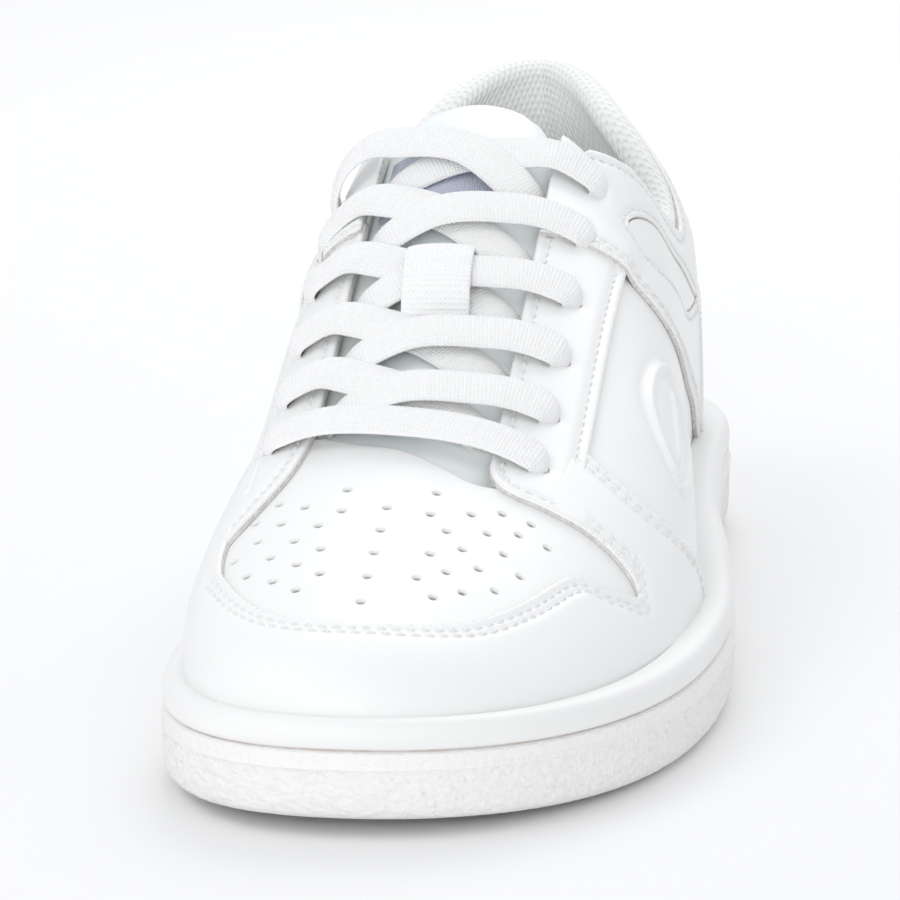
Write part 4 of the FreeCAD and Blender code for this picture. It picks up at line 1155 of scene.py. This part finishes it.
def lozenge(ab):
    """A plain lozenge pressed into the leather: a raised border around a hollow with one bar."""
    station = face_point(ab[:, 0] / AROUND_SCALE, ab[:, 1])[:, 1]
    u, v = station - LOZENGE_CENTRE[0], ab[:, 1] - LOZENGE_CENTRE[1]
    along = u * math.cos(LOZENGE_TILT) + v * math.sin(LOZENGE_TILT)
    across = v * math.cos(LOZENGE_TILT) - u * math.sin(LOZENGE_TILT)
    reach = lozenge_reach(along, across)
    slope = np.hypot(lozenge_reach(along + 0.1, across) - reach,
                     lozenge_reach(along, across + 0.1) - reach) / 0.1
    gap = (reach - 1) / np.maximum(slope, 0.02)
    border = 0.75 * np.exp(-(gap / 0.8) ** 2)
    hollow = -0.22 * np.exp(-((gap - 1.7) / 0.7) ** 2) - 0.2 * np.exp(-((gap + 1.7) / 0.7) ** 2)
    bar = 0.6 * np.exp(-(across / 0.8) ** 2) * np.clip((0.66 - reach) / 0.1, 0, 1)
    return border + hollow + bar


def eyelets(side, rear):
    """Plan positions of one side's eyelets, in front of or behind the collar panel's edge."""
    return [(EYELET_X[side], s) for s in EYELET_STATIONS[side] if (s > PANEL_FRONT) == rear]


def eyestay_outline(side):
    """Runs of the eyestay's outline: throat edge, front corner, front edge, outer edge."""
    inner, outer, end = THROAT[side], EYESTAY_OUTER[side], PANEL_FRONT + 4.0
    if side > 0:
        corner = [(inner, 81.5), (inner + 0.6, 78.5), (inner + 3.0, 75.2), (inner + 6.5, 74.0)]
        return ([(inner, end), (inner, 81.5)], corner, [(inner + 6.5, 74.0), (outer, 73.6)],
                [(outer, 73.6), (outer, end)])
    corner = [(inner, 96), (inner - 0.4, 88), (inner - 2.6, 77), (inner - 6.5, 67), (inner - 10.2, 59.5)]
    return ([(inner, end), (inner, 96)], corner, [(inner - 10.2, 59.5), (outer, 57)],
            [(outer, 57), (outer, end)])


def make_eyestay(side):
    """Eyelet strip beside the throat, with a row of stitches inside each edge."""
    runs = eyestay_outline(side)
    holes = [circle_hole(plan_chart, c, EYELET_RADIUS) for c in eyelets(side, False)]
    path = np.vstack([smooth(run, 1.0)[:-1] for run in runs[:3]])
    inner = shifted(plan_chart, path, 2.3 * side)
    outer = shifted(plan_chart, smooth(runs[3], 1.0), 2.4 * side)
    rows = [inner[inner[:, 1] < PANEL_FRONT - 1],
            outer[(outer[:, 1] < PANEL_FRONT - 1) & (outer[:, 1] > 77)]]
    name = "eyestay_" + SIDE_NAME[side]
    obj = sheet(name, plan_chart, joined(*runs), OVERLAY, [LEATHER, RAW], holes=holes,
                seams=sewn_in(rows, 0.8), spacing=1.8)
    finish_piece(obj, "shoe", "leather", name)
    sewing = stitches(name + "_stitching", thread_rows(plan_chart, rows, OVERLAY[1]), THREAD)
    finish_piece(sewing, "shoe", "leather")


def make_facing(side):
    """The layer of leather that backs one side's eyelets."""
    inner, outer = THROAT[side] + side * 0.7, EYELET_X[side] + side * 3.0
    corners = [(inner, 84 if side > 0 else 92), (outer, 84), (outer, 186), (inner, 189)]
    holes = [circle_hole(plan_chart, (EYELET_X[side], s), EYELET_RADIUS) for s in EYELET_STATIONS[side]]
    outline = joined(*zip(corners, corners[1:] + corners[:1]))
    obj = sheet("facing_" + SIDE_NAME[side], plan_chart, outline, BASE, [LEATHER, RAW], holes=holes,
                spacing=2.4)
    return finish_piece(obj, "shoe", "leather")


LEAF_TOP = [(170.5, 73.0), (174, 76.6), (181, 77.2), (191, 74.2), (203, 67.5), (220, 59.0), (238, 49.5)]
LEAF_FOOT = [(238, 49.5), (221, 50.5), (205, 55.2), (190, 62.0), (178, 67.4), (171.6, 70.6), (170.5, 73.0)]


def leaf_outline(side, grow=0.0):
    """The window in the collar panel, as a closed chart path, optionally grown."""
    ring = from_side(side, joined(LEAF_TOP, LEAF_FOOT))
    if ring_area(ring) < 0:
        ring = ring[::-1]
    return shifted(wall_chart, spaced(ring, 1.0, closed=True), -grow, closed=True) if grow else ring


PANEL_ARC_PLAN = {1: [(5.5, 152.6), (10, 153.8), (15, 155), (19.5, 155.6)],
                  -1: [(-28.5, 155), (-33, 155.6), (-37.5, 156)]}
PANEL_ARC_SIDE = [(156.0, 71.0), (157.0, 65.0), (161.5, 58.0), (168, 52.6), (178, 48.2), (195, 42.0),
                  (214, 35.0), (226, 28.5)]
PANEL_FOOT = 233              # station where the collar panel's front edge meets the sole
PANEL_REAR = FOXING_FRONT + 4            # hidden under the foxing
PANEL_TOP_REAR = HEEL_TAB_FRONT + 3      # hidden under the heel tab


def panel_front(side):
    """The collar panel's curved front edge, from the throat over the eyestay down to the sole."""
    plan = from_plan(smooth(PANEL_ARC_PLAN[side], 1.0))
    points = PANEL_ARC_SIDE + [foot_point(PANEL_FOOT)]
    return smooth(np.vstack([plan[::4], from_side(side, smooth(points, 3.0))]), 1.0)


def over_eyestay(ab):
    """How far the collar panel is raised where it lies on the end of the eyestay."""
    point = face_point(ab[:, 0] / AROUND_SCALE, ab[:, 1])
    behind = np.clip((point[:, 1] - 161.0) / 12.0, 0, 1)
    outer = np.where(point[:, 0] > SHOE_MIDDLE, EYESTAY_OUTER[1] + 2.0 - point[:, 0],
                     point[:, 0] - EYESTAY_OUTER[-1] + 2.0)
    return 1.35 * (1 - behind) ** 2 * (1 + 2 * behind) * np.clip(outer / 3.0, 0, 1)


def make_collar_panel(side):
    """Panel around the ankle with the top two eyelets, a sewn leaf-shaped window and stitched edges."""
    arc = panel_front(side)
    foot = from_side(side, smooth([foot_point(PANEL_FOOT), foot_point(PANEL_REAR)]))
    rear = from_side(side, smooth([foot_point(PANEL_REAR), (PANEL_REAR, 45), (PANEL_TOP_REAR, 52),
                                   (PANEL_TOP_REAR, float(topline(PANEL_TOP_REAR)) - 2.0)]))
    stations = np.linspace(PANEL_TOP_REAR, 186.0, 70)
    top = from_side(side, np.column_stack([stations, topline(stations) - 1.2]))
    throat = from_plan(smooth([(THROAT[side], 188.0), (THROAT[side], 153)], 1.0))
    throat = throat[throat[:, 1] < top[-1, 1] - 1.5]
    outline = np.vstack([arc, foot[1:], rear[1:], top[1:-1], throat[:-1]])
    ring = leaf_outline(side)
    holes = [spaced(ring, 1.0, closed=True)]
    holes += [circle_hole(wall_chart, from_plan([centre])[0], EYELET_RADIUS)
              for centre in eyelets(side, True)]
    closed = np.vstack([ring, ring[:1]])
    rows = [shifted(wall_chart, closed, -1.5), shifted(wall_chart, arc, 1.9 * side),
            shifted(wall_chart, top, 2.6 * side), shifted(wall_chart, arc[20:], 3.5 * side)]
    name = "collar_panel_" + SIDE_NAME[side]
    obj = sheet(name, wall_chart, outline, OVERLAY, [LEATHER, RAW], holes=holes, seams=sewn_in(rows),
                spacing=2.2, lift=over_eyestay)
    finish_piece(obj, "shoe", "leather", name)
    lifted = [(chart, row, offset + over_eyestay(spaced(row, 0.4)))
              for chart, row, offset in thread_rows(wall_chart, rows, OVERLAY[1])]
    sewing = stitches(name + "_stitching", lifted, THREAD)
    finish_piece(sewing, "shoe", "leather")


def make_collar_insert(side):
    """The leather behind the collar panel's window."""
    name = "collar_insert_" + SIDE_NAME[side]
    obj = sheet(name, wall_chart, leaf_outline(side, -0.15), INSERT, [LEATHER, RAW], spacing=2.0)
    return finish_piece(obj, "shoe", "leather", name)


FULL_TURN = np.array([2 * AROUND_SCALE, 0])


def around_heel(side_points):
    """A path from the lateral side around the heel to the medial side, from its half in side view."""
    half = smooth(side_points, 1.5)
    return np.vstack([from_side(1, half), from_side(-1, half)[::-1] + FULL_TURN])


FOXING_LAYER, TAB_LAYER = (0.2, 1.9), (0.15, 1.65)
FOXING_EDGE = [(FOXING_FRONT, 48.5), (250, 52.5), (HEEL_TAB_FRONT, 55.5), (276, FOXING_TOP)]
TAB_FOOT = 52.0


def make_heel_foxing():
    """Heel overlay, and after it the tab up the back seam with the stitching of both."""
    top = around_heel(FOXING_EDGE)
    start, stop = around_at(1, FOXING_FRONT, 16.0), 2 + around_at(-1, FOXING_FRONT, 16.0)
    rows = [shifted(wall_chart, top, -1.9), shifted(wall_chart, top, -3.5)]
    foxing = sheet("heel_foxing", wall_chart, np.vstack([top, floor_run(stop, start)]), FOXING_LAYER,
                   [LEATHER, RAW], seams=sewn_in(rows), spacing=2.3)
    finish_piece(foxing, "shoe", "leather", "heel_foxing")
    sewing = thread_rows(wall_chart, rows, FOXING_LAYER[1])
    sewing += thread_rows(wall_chart, make_heel_tab(), TAB_LAYER[1])
    return finish_piece(stitches("heel_stitching", sewing, THREAD), "shoe", "leather")


def make_heel_tab():
    """The tab up the back seam; returns its two rows of sewing."""
    front = HEEL_TAB_FRONT
    around = np.linspace(around_at(1, front, 80.0), 2 + around_at(-1, front, 80.0), 60)
    crown = np.column_stack([around * AROUND_SCALE, topline_height(around) - 1.0])
    edge = smooth([(front, float(topline(front)) - 1.2), (front + 1, 70), (front - 1, TAB_FOOT)])
    near = from_side(1, edge)
    far = (from_side(-1, edge) + FULL_TURN)[::-1]
    base = np.array([[a, TAB_FOOT] for a in np.arange(near[-1, 0] + 1, far[0, 0] - 1, 1.5)])
    rows = [shifted(wall_chart, near, 1.9), shifted(wall_chart, far, 1.9)]
    tab = sheet("heel_tab", wall_chart, np.vstack([crown[::-1], near[1:], base, far[:-1]]), TAB_LAYER,
                [LEATHER, RAW], seams=sewn_in(rows), spacing=2.3)
    finish_piece(tab, "shoe", "leather", "heel_tab")
    return rows


# ---- Padded collar and tongue --------------------------------------------------------------------
PAD_HEIGHT, PAD_START, PAD_BULGE = 26.0, 0.35, 4.6
ROLL, ROLL_START, ROLL_MIDDLE = 3.3, 0.6, -2.3
PAD_DIVE = 3.5                # how far the pad's front ends dip behind the leather
PAD_BACK = -0.12              # the pad's back lies against the leather panels
PAD_SUNK = -1.6               # offset to which the pad thins out at its front ends
COLLAR_COLUMNS, COLLAR_ROWS = 240, 44


def collar_profile(t):
    """The padded collar in section, from its inner foot (0) over the roll (1).

    Gives the rise from the topline and the offset from the upper's face.
    """
    q = np.clip(t / ROLL_START, 0, 1)
    turn = math.pi * np.clip((t - ROLL_START) / (1 - ROLL_START), 0, 1)
    rise = np.where(t < ROLL_START, -PAD_HEIGHT * (1 - q), ROLL * np.sin(turn))
    padding = PAD_BULGE * np.sin(math.pi * q ** 0.9) ** 1.3
    offset = np.where(t < ROLL_START, ROLL_MIDDLE - ROLL * q ** 0.5 - padding,
                      ROLL_MIDDLE - ROLL * np.cos(turn))
    return rise, offset


SWELL_STEPS = 14


def swell(obj, pressure, cap):
    """Inflates a closed padded form with cloth pressure.

    Each point stays within cap millimetres of its start.
    """
    start = np.array([v.co for v in obj.data.vertices])
    modifier = obj.modifiers.new("Cloth", "CLOTH")
    settings = modifier.settings
    settings.quality = 6
    settings.use_pressure = True
    settings.uniform_pressure_force = pressure
    settings.tension_stiffness = 18
    settings.bending_stiffness = 1.2
    settings.effector_weights.gravity = 0
    scene = bpy.context.scene
    for step in range(1, SWELL_STEPS + 1):
        scene.frame_set(step)
    evaluated = obj.evaluated_get(bpy.context.evaluated_depsgraph_get())
    moved = np.array([v.co for v in evaluated.data.vertices])
    obj.modifiers.remove(modifier)
    shift = moved - start
    size = np.linalg.norm(shift, axis=1, keepdims=True)
    shift *= np.minimum(1, cap * MM / np.maximum(size, 1e-12))
    obj.data.vertices.foreach_set("co", (start + shift).ravel())
    obj.data.update()
    scene.frame_set(1)


def collar_fade(i, columns):
    """How full the pad is at a column: 0 at its front ends, 1 soon behind them."""
    share = min(1.0, 0.05 + min(i, columns - 1 - i) / (0.07 * columns))
    return share * share * (3 - 2 * share)


def make_collar():
    """Padded collar in open mesh textile, from the eyestays around the ankle."""
    columns = COLLAR_COLUMNS
    around = np.linspace(PAD_START, 2 - PAD_START, columns)
    profile_rise, profile_offset = collar_profile(np.linspace(0, 1, COLLAR_ROWS))
    back = np.linspace(1, 0, 9)[1:-1]
    rows, uv = [], []
    length = 0.0
    for i, (a, z) in enumerate(zip(around, topline_height(around))):
        fade = collar_fade(i, columns)
        offset = PAD_SUNK + (profile_offset - PAD_SUNK) * fade
        rise = np.where(profile_rise > 0, profile_rise * fade, profile_rise) - PAD_DIVE * (1 - fade)
        rise = np.concatenate([rise, -PAD_HEIGHT * (1 - back) * 0.92])
        offset = np.concatenate([offset, np.full(len(back), PAD_BACK)])
        ab = np.column_stack([np.full(len(rise), a * AROUND_SCALE), z + rise])
        rows.append(wall_chart(ab, offset))
        if i:
            length += np.linalg.norm(rows[-1][0] - rows[-2][0])
        run = travelled(np.column_stack([rise, offset]))
        uv.append(np.column_stack([np.full(len(rise), length), run]))
    obj = grid_object("collar_lining", rows, [COLLAR_MESH], wrap_columns=True, caps=True, uv=np.array(uv),
                      flip=True)
    swell(obj, 3.0, 1.6)
    return finish_piece(obj, "shoe", "collar_mesh", "collar_lining", "collar_foam")


TONGUE_FRONT, TONGUE_TOP, TONGUE_THICK = 76.0, 194.0, 5.0
tongue_half = curve([(76, 21), (110, 24), (150, 24.5), (165, 23), (180, 21), (188, 20), (192, 18),
                     (194, 15)])
tongue_middle = curve([(76, -11), (140, -11), (180, -13), (194, -15)])
# from the leather's face down to the tongue
tongue_gap = curve([(76, 2.0), (95, 0.9), (160, 0.9), (180, 0.8), (194, 1.2)])
TONGUE_CROWN = 1.4            # how much lower the tongue's edges are than its middle
LABEL_ACROSS, LABEL_STATIONS, LABEL_THICK = (-0.66, 0.5), (160, 179), 0.7


def tongue_point(across, station, depth):
    """Points of the tongue, a depth below its top face; across runs from -1 to 1."""
    x = tongue_middle(station) + across * tongue_half(station)
    offset = -tongue_gap(station) - TONGUE_CROWN * across ** 2 - np.asarray(depth)
    return plan_chart(np.column_stack([x, station]), offset)


def make_tongue():
    """Padded tongue: leather face, textile back, one closed cushion with a seamed rim."""
    across = np.sin(np.linspace(-math.pi / 2, math.pi / 2, 33))
    stations = np.linspace(TONGUE_FRONT, TONGUE_TOP, 90)
    rows = []
    for s in stations:
        station = np.full(len(across), s)
        end = min(1.0, math.sqrt(max(1 - max((s - (TONGUE_TOP - 5)) / 5, 0) ** 2, 0.05)))
        padding = TONGUE_THICK / 2 * (1 - np.abs(across) ** 8) ** 0.5 * end
        seam = 0.5 * np.exp(-((np.abs(across) - 0.86) / 0.035) ** 2) * end
        face = tongue_point(across, station, TONGUE_THICK / 2 - padding + seam)
        back = tongue_point(across[::-1], station, TONGUE_THICK / 2 + padding[::-1])
        rows.append(np.vstack([face, back[1:-1]]))
    obj = grid_object("tongue", rows, [TONGUE_LEATHER, LINING_CLOTH], wrap_columns=True, caps=True)
    swell(obj, 2.0, 0.9)
    kinds = [1 if polygon.normal.z < -0.2 else 0 for polygon in obj.data.polygons]
    obj.data.polygons.foreach_set("material_index", np.array(kinds, dtype=np.int32))
    return finish_piece(obj, "tongue", "tongue_leather", "tongue_shell", "tongue_foam", "tongue_lining")


def make_label():
    """Plain woven label sewn across the tongue's top."""
    across = np.linspace(*LABEL_ACROSS, 15)
    rows, uv = [], []
    for s in np.linspace(*LABEL_STATIONS, 16):
        station = np.full(15, s)
        rows.append(tongue_point(across, station, np.full(15, -0.75)))
        uv.append(np.column_stack([across * 27, station]))
    label = grid_object("tongue_label", rows, [LABEL_TWILL], uv=np.array(uv))
    solid = label.modifiers.new("Thickness", "SOLIDIFY")
    solid.thickness = LABEL_THICK * MM
    solid.offset = -1.0
    return finish_piece(label, "tongue", "label_twill", "tongue_label")


# ---- Lace ----------------------------------------------------------------------------------------
LACE_SECTION = 26
LACE_BOW = 0.5                # how much lower a strand's edges are than its middle
REST = OVERLAY[1] + 0.15 + LACE_THICK / 2     # height of a strand's middle where it lies on an eyestay
TOP_ARCH = 1.8                # how much higher the last strand stands over the inner eyestay
PINCH_REACH, PINCH_NARROW, PINCH_CUP = 8.5, 0.58, 2.1         # how a strand narrows into an eyelet
YARN_PITCH, YARN_RELIEF, YARN_SLANT = 1.5, 0.09, 1.25
# the first crossing: share of the way from eyelet to eyelet, height over the upper
BAR_RISES = ((-0.03, -1.8), (0.005, REST + 0.2), (0.08, REST + 0.9), (0.2, REST + 1.5),
             (0.36, REST + 1.4), (0.5, REST + 1.3), (0.66, REST + 1.5), (0.82, REST + 1.5),
             (0.94, REST + 0.9), (0.995, REST + 0.2), (1.03, -1.8))


def ribbon_frame(path):
    """Middle line of a ribbon through (x, station, offset), its across and out directions, its lengths."""
    centre = plan_chart(path[:, :2], path[:, 2])
    out = normalized(plan_chart(path[:, :2], path[:, 2] + 1.0) - centre)
    ahead = normalized(np.gradient(centre, axis=0))
    across = normalized(np.cross(ahead, out))
    return centre, across, np.cross(across, ahead), travelled(centre)


def flat_section(count, width_power, thick_power):
    """A rounded flat section as (sideways, thickness) shares of its half sizes."""
    angle = np.linspace(0, 2 * math.pi, count, endpoint=False)
    sideways = np.sign(np.cos(angle)) * np.abs(np.cos(angle)) ** width_power
    thick = np.sign(np.sin(angle)) * np.abs(np.sin(angle)) ** thick_power
    return sideways, thick


def lace_strand(stops, pinch_ends):
    """A flat woven strand through stops of (x, station, offset), narrowed at its pinched ends."""
    centre, across, out, lengths = ribbon_frame(smooth(stops, 0.42))
    width = np.full(len(centre), LACE_WIDTH)
    cup = np.full(len(centre), LACE_BOW)
    for pinched, far in zip(pinch_ends, (lengths, lengths[-1] - lengths)):
        if pinched:
            near = np.clip(1 - far / PINCH_REACH, 0, 1)
            width = width * (1 - PINCH_NARROW * near ** 1.6)
            cup = cup + PINCH_CUP * near ** 1.4
    flat, thick = flat_section(LACE_SECTION, 0.8, 0.62)
    turns = 2 * math.pi / YARN_PITCH
    rows, uv = [], []
    for i, u in enumerate(lengths):
        v = flat * width[i] / 2
        yarn = np.sin((u + v * YARN_SLANT) * turns) * np.sin((u - v * YARN_SLANT) * turns)
        body = LACE_THICK / 2 * (1 - 0.25 * np.abs(flat) ** 4)
        height = thick * (body + YARN_RELIEF * yarn) - cup[i] * flat ** 2
        rows.append(centre[i] + across[i] * v[:, None] + out[i] * height[:, None])
        uv.append(np.column_stack([np.full(LACE_SECTION, u), v * YARN_SLANT]))
    return np.array(rows), np.array(uv)


def bar_stops():
    """The first crossing, straight over the two front eyelets."""
    start, end = ((EYELET_X[side], EYELET_STATIONS[side][0]) for side in (-1, 1))
    return [(start[0] + (end[0] - start[0]) * t, start[1] + (end[1] - start[1]) * t, rise)
            for t, rise in BAR_RISES]


def crossing_stops(side, row, upper):
    """A strand that comes out under the opposite eyestay and dives into this side's eyelet."""
    end_x, end_s = EYELET_X[side], EYELET_STATIONS[side][row]
    start_s = EYELET_STATIONS[-side][row - 1] + (4.5 if side > 0 else 5.5)
    edge, far_edge = THROAT[side], THROAT[-side]
    middle = 4.4 if upper else 1.6
    span = end_s - start_s
    arch = TOP_ARCH if side < 0 and row == len(EYELET_STATIONS[side]) - 1 else 0.0
    return [(far_edge - side * 6.0, start_s - 1.5, -3.0),
            (far_edge - side * 0.5, start_s + 0.5, -2.1),
            (far_edge + side * 4.5, start_s + 0.12 * span, -0.6 + 0.4 * middle),
            (THROAT_MIDDLE - side * 2.0, start_s + 0.5 * span, middle),
            (edge - side * 6.5, start_s + 0.84 * span, 0.5 * (middle + REST) + 0.6),
            (edge - side * 0.5, start_s + 0.97 * span, REST + 1.5 + arch),
            (edge + (end_x - edge) * 0.5, end_s, REST + 1.2 + arch),
            (end_x - side * 0.4, end_s - 0.2, REST + 0.5),
            (end_x + side * 1.5, end_s - 0.6, -1.8)]


def make_lace():
    """All the strands of the lace as one object."""
    strands = [lace_strand(bar_stops(), (True, True))]
    last = len(EYELET_STATIONS[1]) - 1
    for row in range(1, last + 1):
        lateral_over = row != last
        strands.append(lace_strand(crossing_stops(1, row, lateral_over), (False, True)))
        strands.append(lace_strand(crossing_stops(-1, row, not lateral_over), (False, True)))
    points, faces, uvs = [], [], []
    start = 0
    for rows, uv in strands:
        n, m = rows.shape[:2]
        faces += grid_faces(n, m, start, wrap_columns=True)
        faces.append(tuple(start + j for j in reversed(range(m))))
        faces.append(tuple(start + (n - 1) * m + j for j in range(m)))
        points.append(rows.reshape(-1, 3))
        uvs.append(uv.reshape(-1, 2))
        start += n * m
    obj = make_object("lace", np.vstack(points), faces, [LACE], uv=np.vstack(uvs),
                      sharp=math.radians(75))
    return finish_piece(obj, "shoe", "lace_cotton", "lace")


KEEPER_ROW, KEEPER_WIDTH, KEEPER_RIB = 3, 13.2, 1.05
KEEPER_AHEAD = 5.0            # the loop sits this far toward the toe from its crossing
# the loop's path: x and station from its middle, height over the upper
KEEPER_STOPS = ((0.6, -15.0, -3.4), (0.5, -11.5, 1.6), (0.3, -7.5, 5.2), (0, -1.0, 6.4),
                (-0.2, 4.5, 5.2), (-0.3, 8.5, 0.8), (-0.3, 12.0, -3.4))


def make_keeper():
    """Ribbed webbing loop on the tongue, over the fourth crossing of the lace."""
    middle = (EYELET_STATIONS[1][KEEPER_ROW] + EYELET_STATIONS[-1][KEEPER_ROW]) / 2 - KEEPER_AHEAD
    x = THROAT_MIDDLE + 0.5
    path = smooth([(x + dx, middle + ds, rise) for dx, ds, rise in KEEPER_STOPS], 0.3)
    centre, across, out, lengths = ribbon_frame(path)
    flat, thick = flat_section(22, 0.6, 0.3)
    v = flat * KEEPER_WIDTH / 2
    rows, uv = [], []
    for i, u in enumerate(lengths):
        rib = 0.16 * math.sin(2 * math.pi * u / KEEPER_RIB)
        height = thick * (0.55 + rib) - 0.6 * flat ** 2
        rows.append(centre[i] + across[i] * v[:, None] + out[i] * height[:, None])
        uv.append(np.column_stack([np.full(len(v), u), v]))
    obj = grid_object("tongue_lace_keeper", rows, [WEBBING], wrap_columns=True, caps=True,
                      uv=np.array(uv))
    low, high = Vector(centre[0]) * MM, Vector(centre[len(centre) // 2]) * MM
    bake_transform(obj)
    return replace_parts(obj, "tongue_lace_keeper")


# ---- Carried-over CAD nodes ----------------------------------------------------------------------
CARRIED = {"midsole": MIDSOLE, "insole_board": BOARD, "sockliner": SOCKLINER_CLOTH,
           "toe_puff": STIFFENER, "heel_counter": STIFFENER, "eyelet_reinforcement_lateral": TAPE,
           "eyelet_reinforcement_medial": TAPE, "quarter_lining_lateral": LINING_CLOTH,
           "quarter_lining_medial": LINING_CLOTH, "forefoot_lining": LINING_CLOTH,
           "lace_aglets": AGLET}


def dress_carried_nodes():
    """Materials for the CAD pieces that are kept as they are."""
    for name, material in CARRIED.items():
        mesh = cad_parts[name].data
        mesh.materials.clear()
        mesh.materials.append(material)


# ---- Stage ---------------------------------------------------------------------------------------
CAMERA_AZIMUTH, CAMERA_ELEVATION = math.radians(7.836), math.radians(12.78)
CAMERA_DISTANCE, CAMERA_LENS = 1200.0, 249.77
CAMERA_TARGET = (-7.92, -16.0, 41.63)
FLOOR_REACH = 4000.0
WORLD_COLOR, WORLD_STRENGTH = (0.97, 0.98, 1.0, 1), 0.76
LIGHT_TARGET = (0, 0, 0.05)
# square lamps: place (m), size (m), power (W)
LIGHTS = {"key": ((-0.7, -0.5, 1.1), 0.7, 2.4), "front": ((-0.1, -1.6, 0.45), 0.7, 5.6),
          "back": ((0.1, 0.8, 0.9), 0.8, 4.0)}


def add_light(name, place, size, power):
    """A square lamp that faces the shoe."""
    data = bpy.data.lights.new(name, "AREA")
    data.energy = power
    data.size = size
    lamp = bpy.data.objects.new(name, data)
    lamp.location = place
    lamp.rotation_euler = (Vector(LIGHT_TARGET) - Vector(place)).to_track_quat("-Z", "Y").to_euler()
    bpy.context.scene.collection.objects.link(lamp)


def make_stage():
    """Pale floor and soft studio light."""
    floor_shader = Shader("pale_floor", (0.9, 0.9, 0.9), 0.7)
    floor_shader.bump(floor_shader.noise(2.0), 0.01)
    reach = FLOOR_REACH
    floor = grid_object("floor", [[(-reach, -reach, 0), (reach, -reach, 0)],
                                  [(-reach, reach, 0), (reach, reach, 0)]], [floor_shader.material])
    world = bpy.data.worlds.new("studio")
    world.use_nodes = True
    background = world.node_tree.nodes["Background"]
    background.inputs["Color"].default_value = WORLD_COLOR
    background.inputs["Strength"].default_value = WORLD_STRENGTH
    bpy.context.scene.world = world
    for name, (place, size, power) in LIGHTS.items():
        add_light(name, place, size, power)


def make_camera():
    """The view from in front of the toe, a little to the outer side and above."""
    camera_data = bpy.data.cameras.new("camera")
    camera_data.lens = CAMERA_LENS
    camera_data.clip_end = 20.0
    camera = bpy.data.objects.new("camera", camera_data)
    back = Vector((math.sin(CAMERA_AZIMUTH) * math.cos(CAMERA_ELEVATION),
                   -math.cos(CAMERA_AZIMUTH) * math.cos(CAMERA_ELEVATION),
                   math.sin(CAMERA_ELEVATION)))
    camera.location = (Vector(CAMERA_TARGET) + back * CAMERA_DISTANCE) * MM
    camera.rotation_euler = (-back).to_track_quat("-Z", "Y").to_euler()
    bpy.context.scene.collection.objects.link(camera)
    bpy.context.scene.camera = camera
    bpy.context.scene.view_settings.view_transform = "Standard"


# ---- Build ---------------------------------------------------------------------------------------
dress_carried_nodes()
make_outsole()
make_rim()
make_glue_line()
make_vamp()
make_toe_cap()
for side in (1, -1):
    make_quarter(side)
    make_eyestay(side)
    make_facing(side)
    make_collar_panel(side)
    make_collar_insert(side)
make_heel_foxing()
make_collar()
make_tongue()
make_label()
make_lace()
make_keeper()
make_stage()
make_camera()
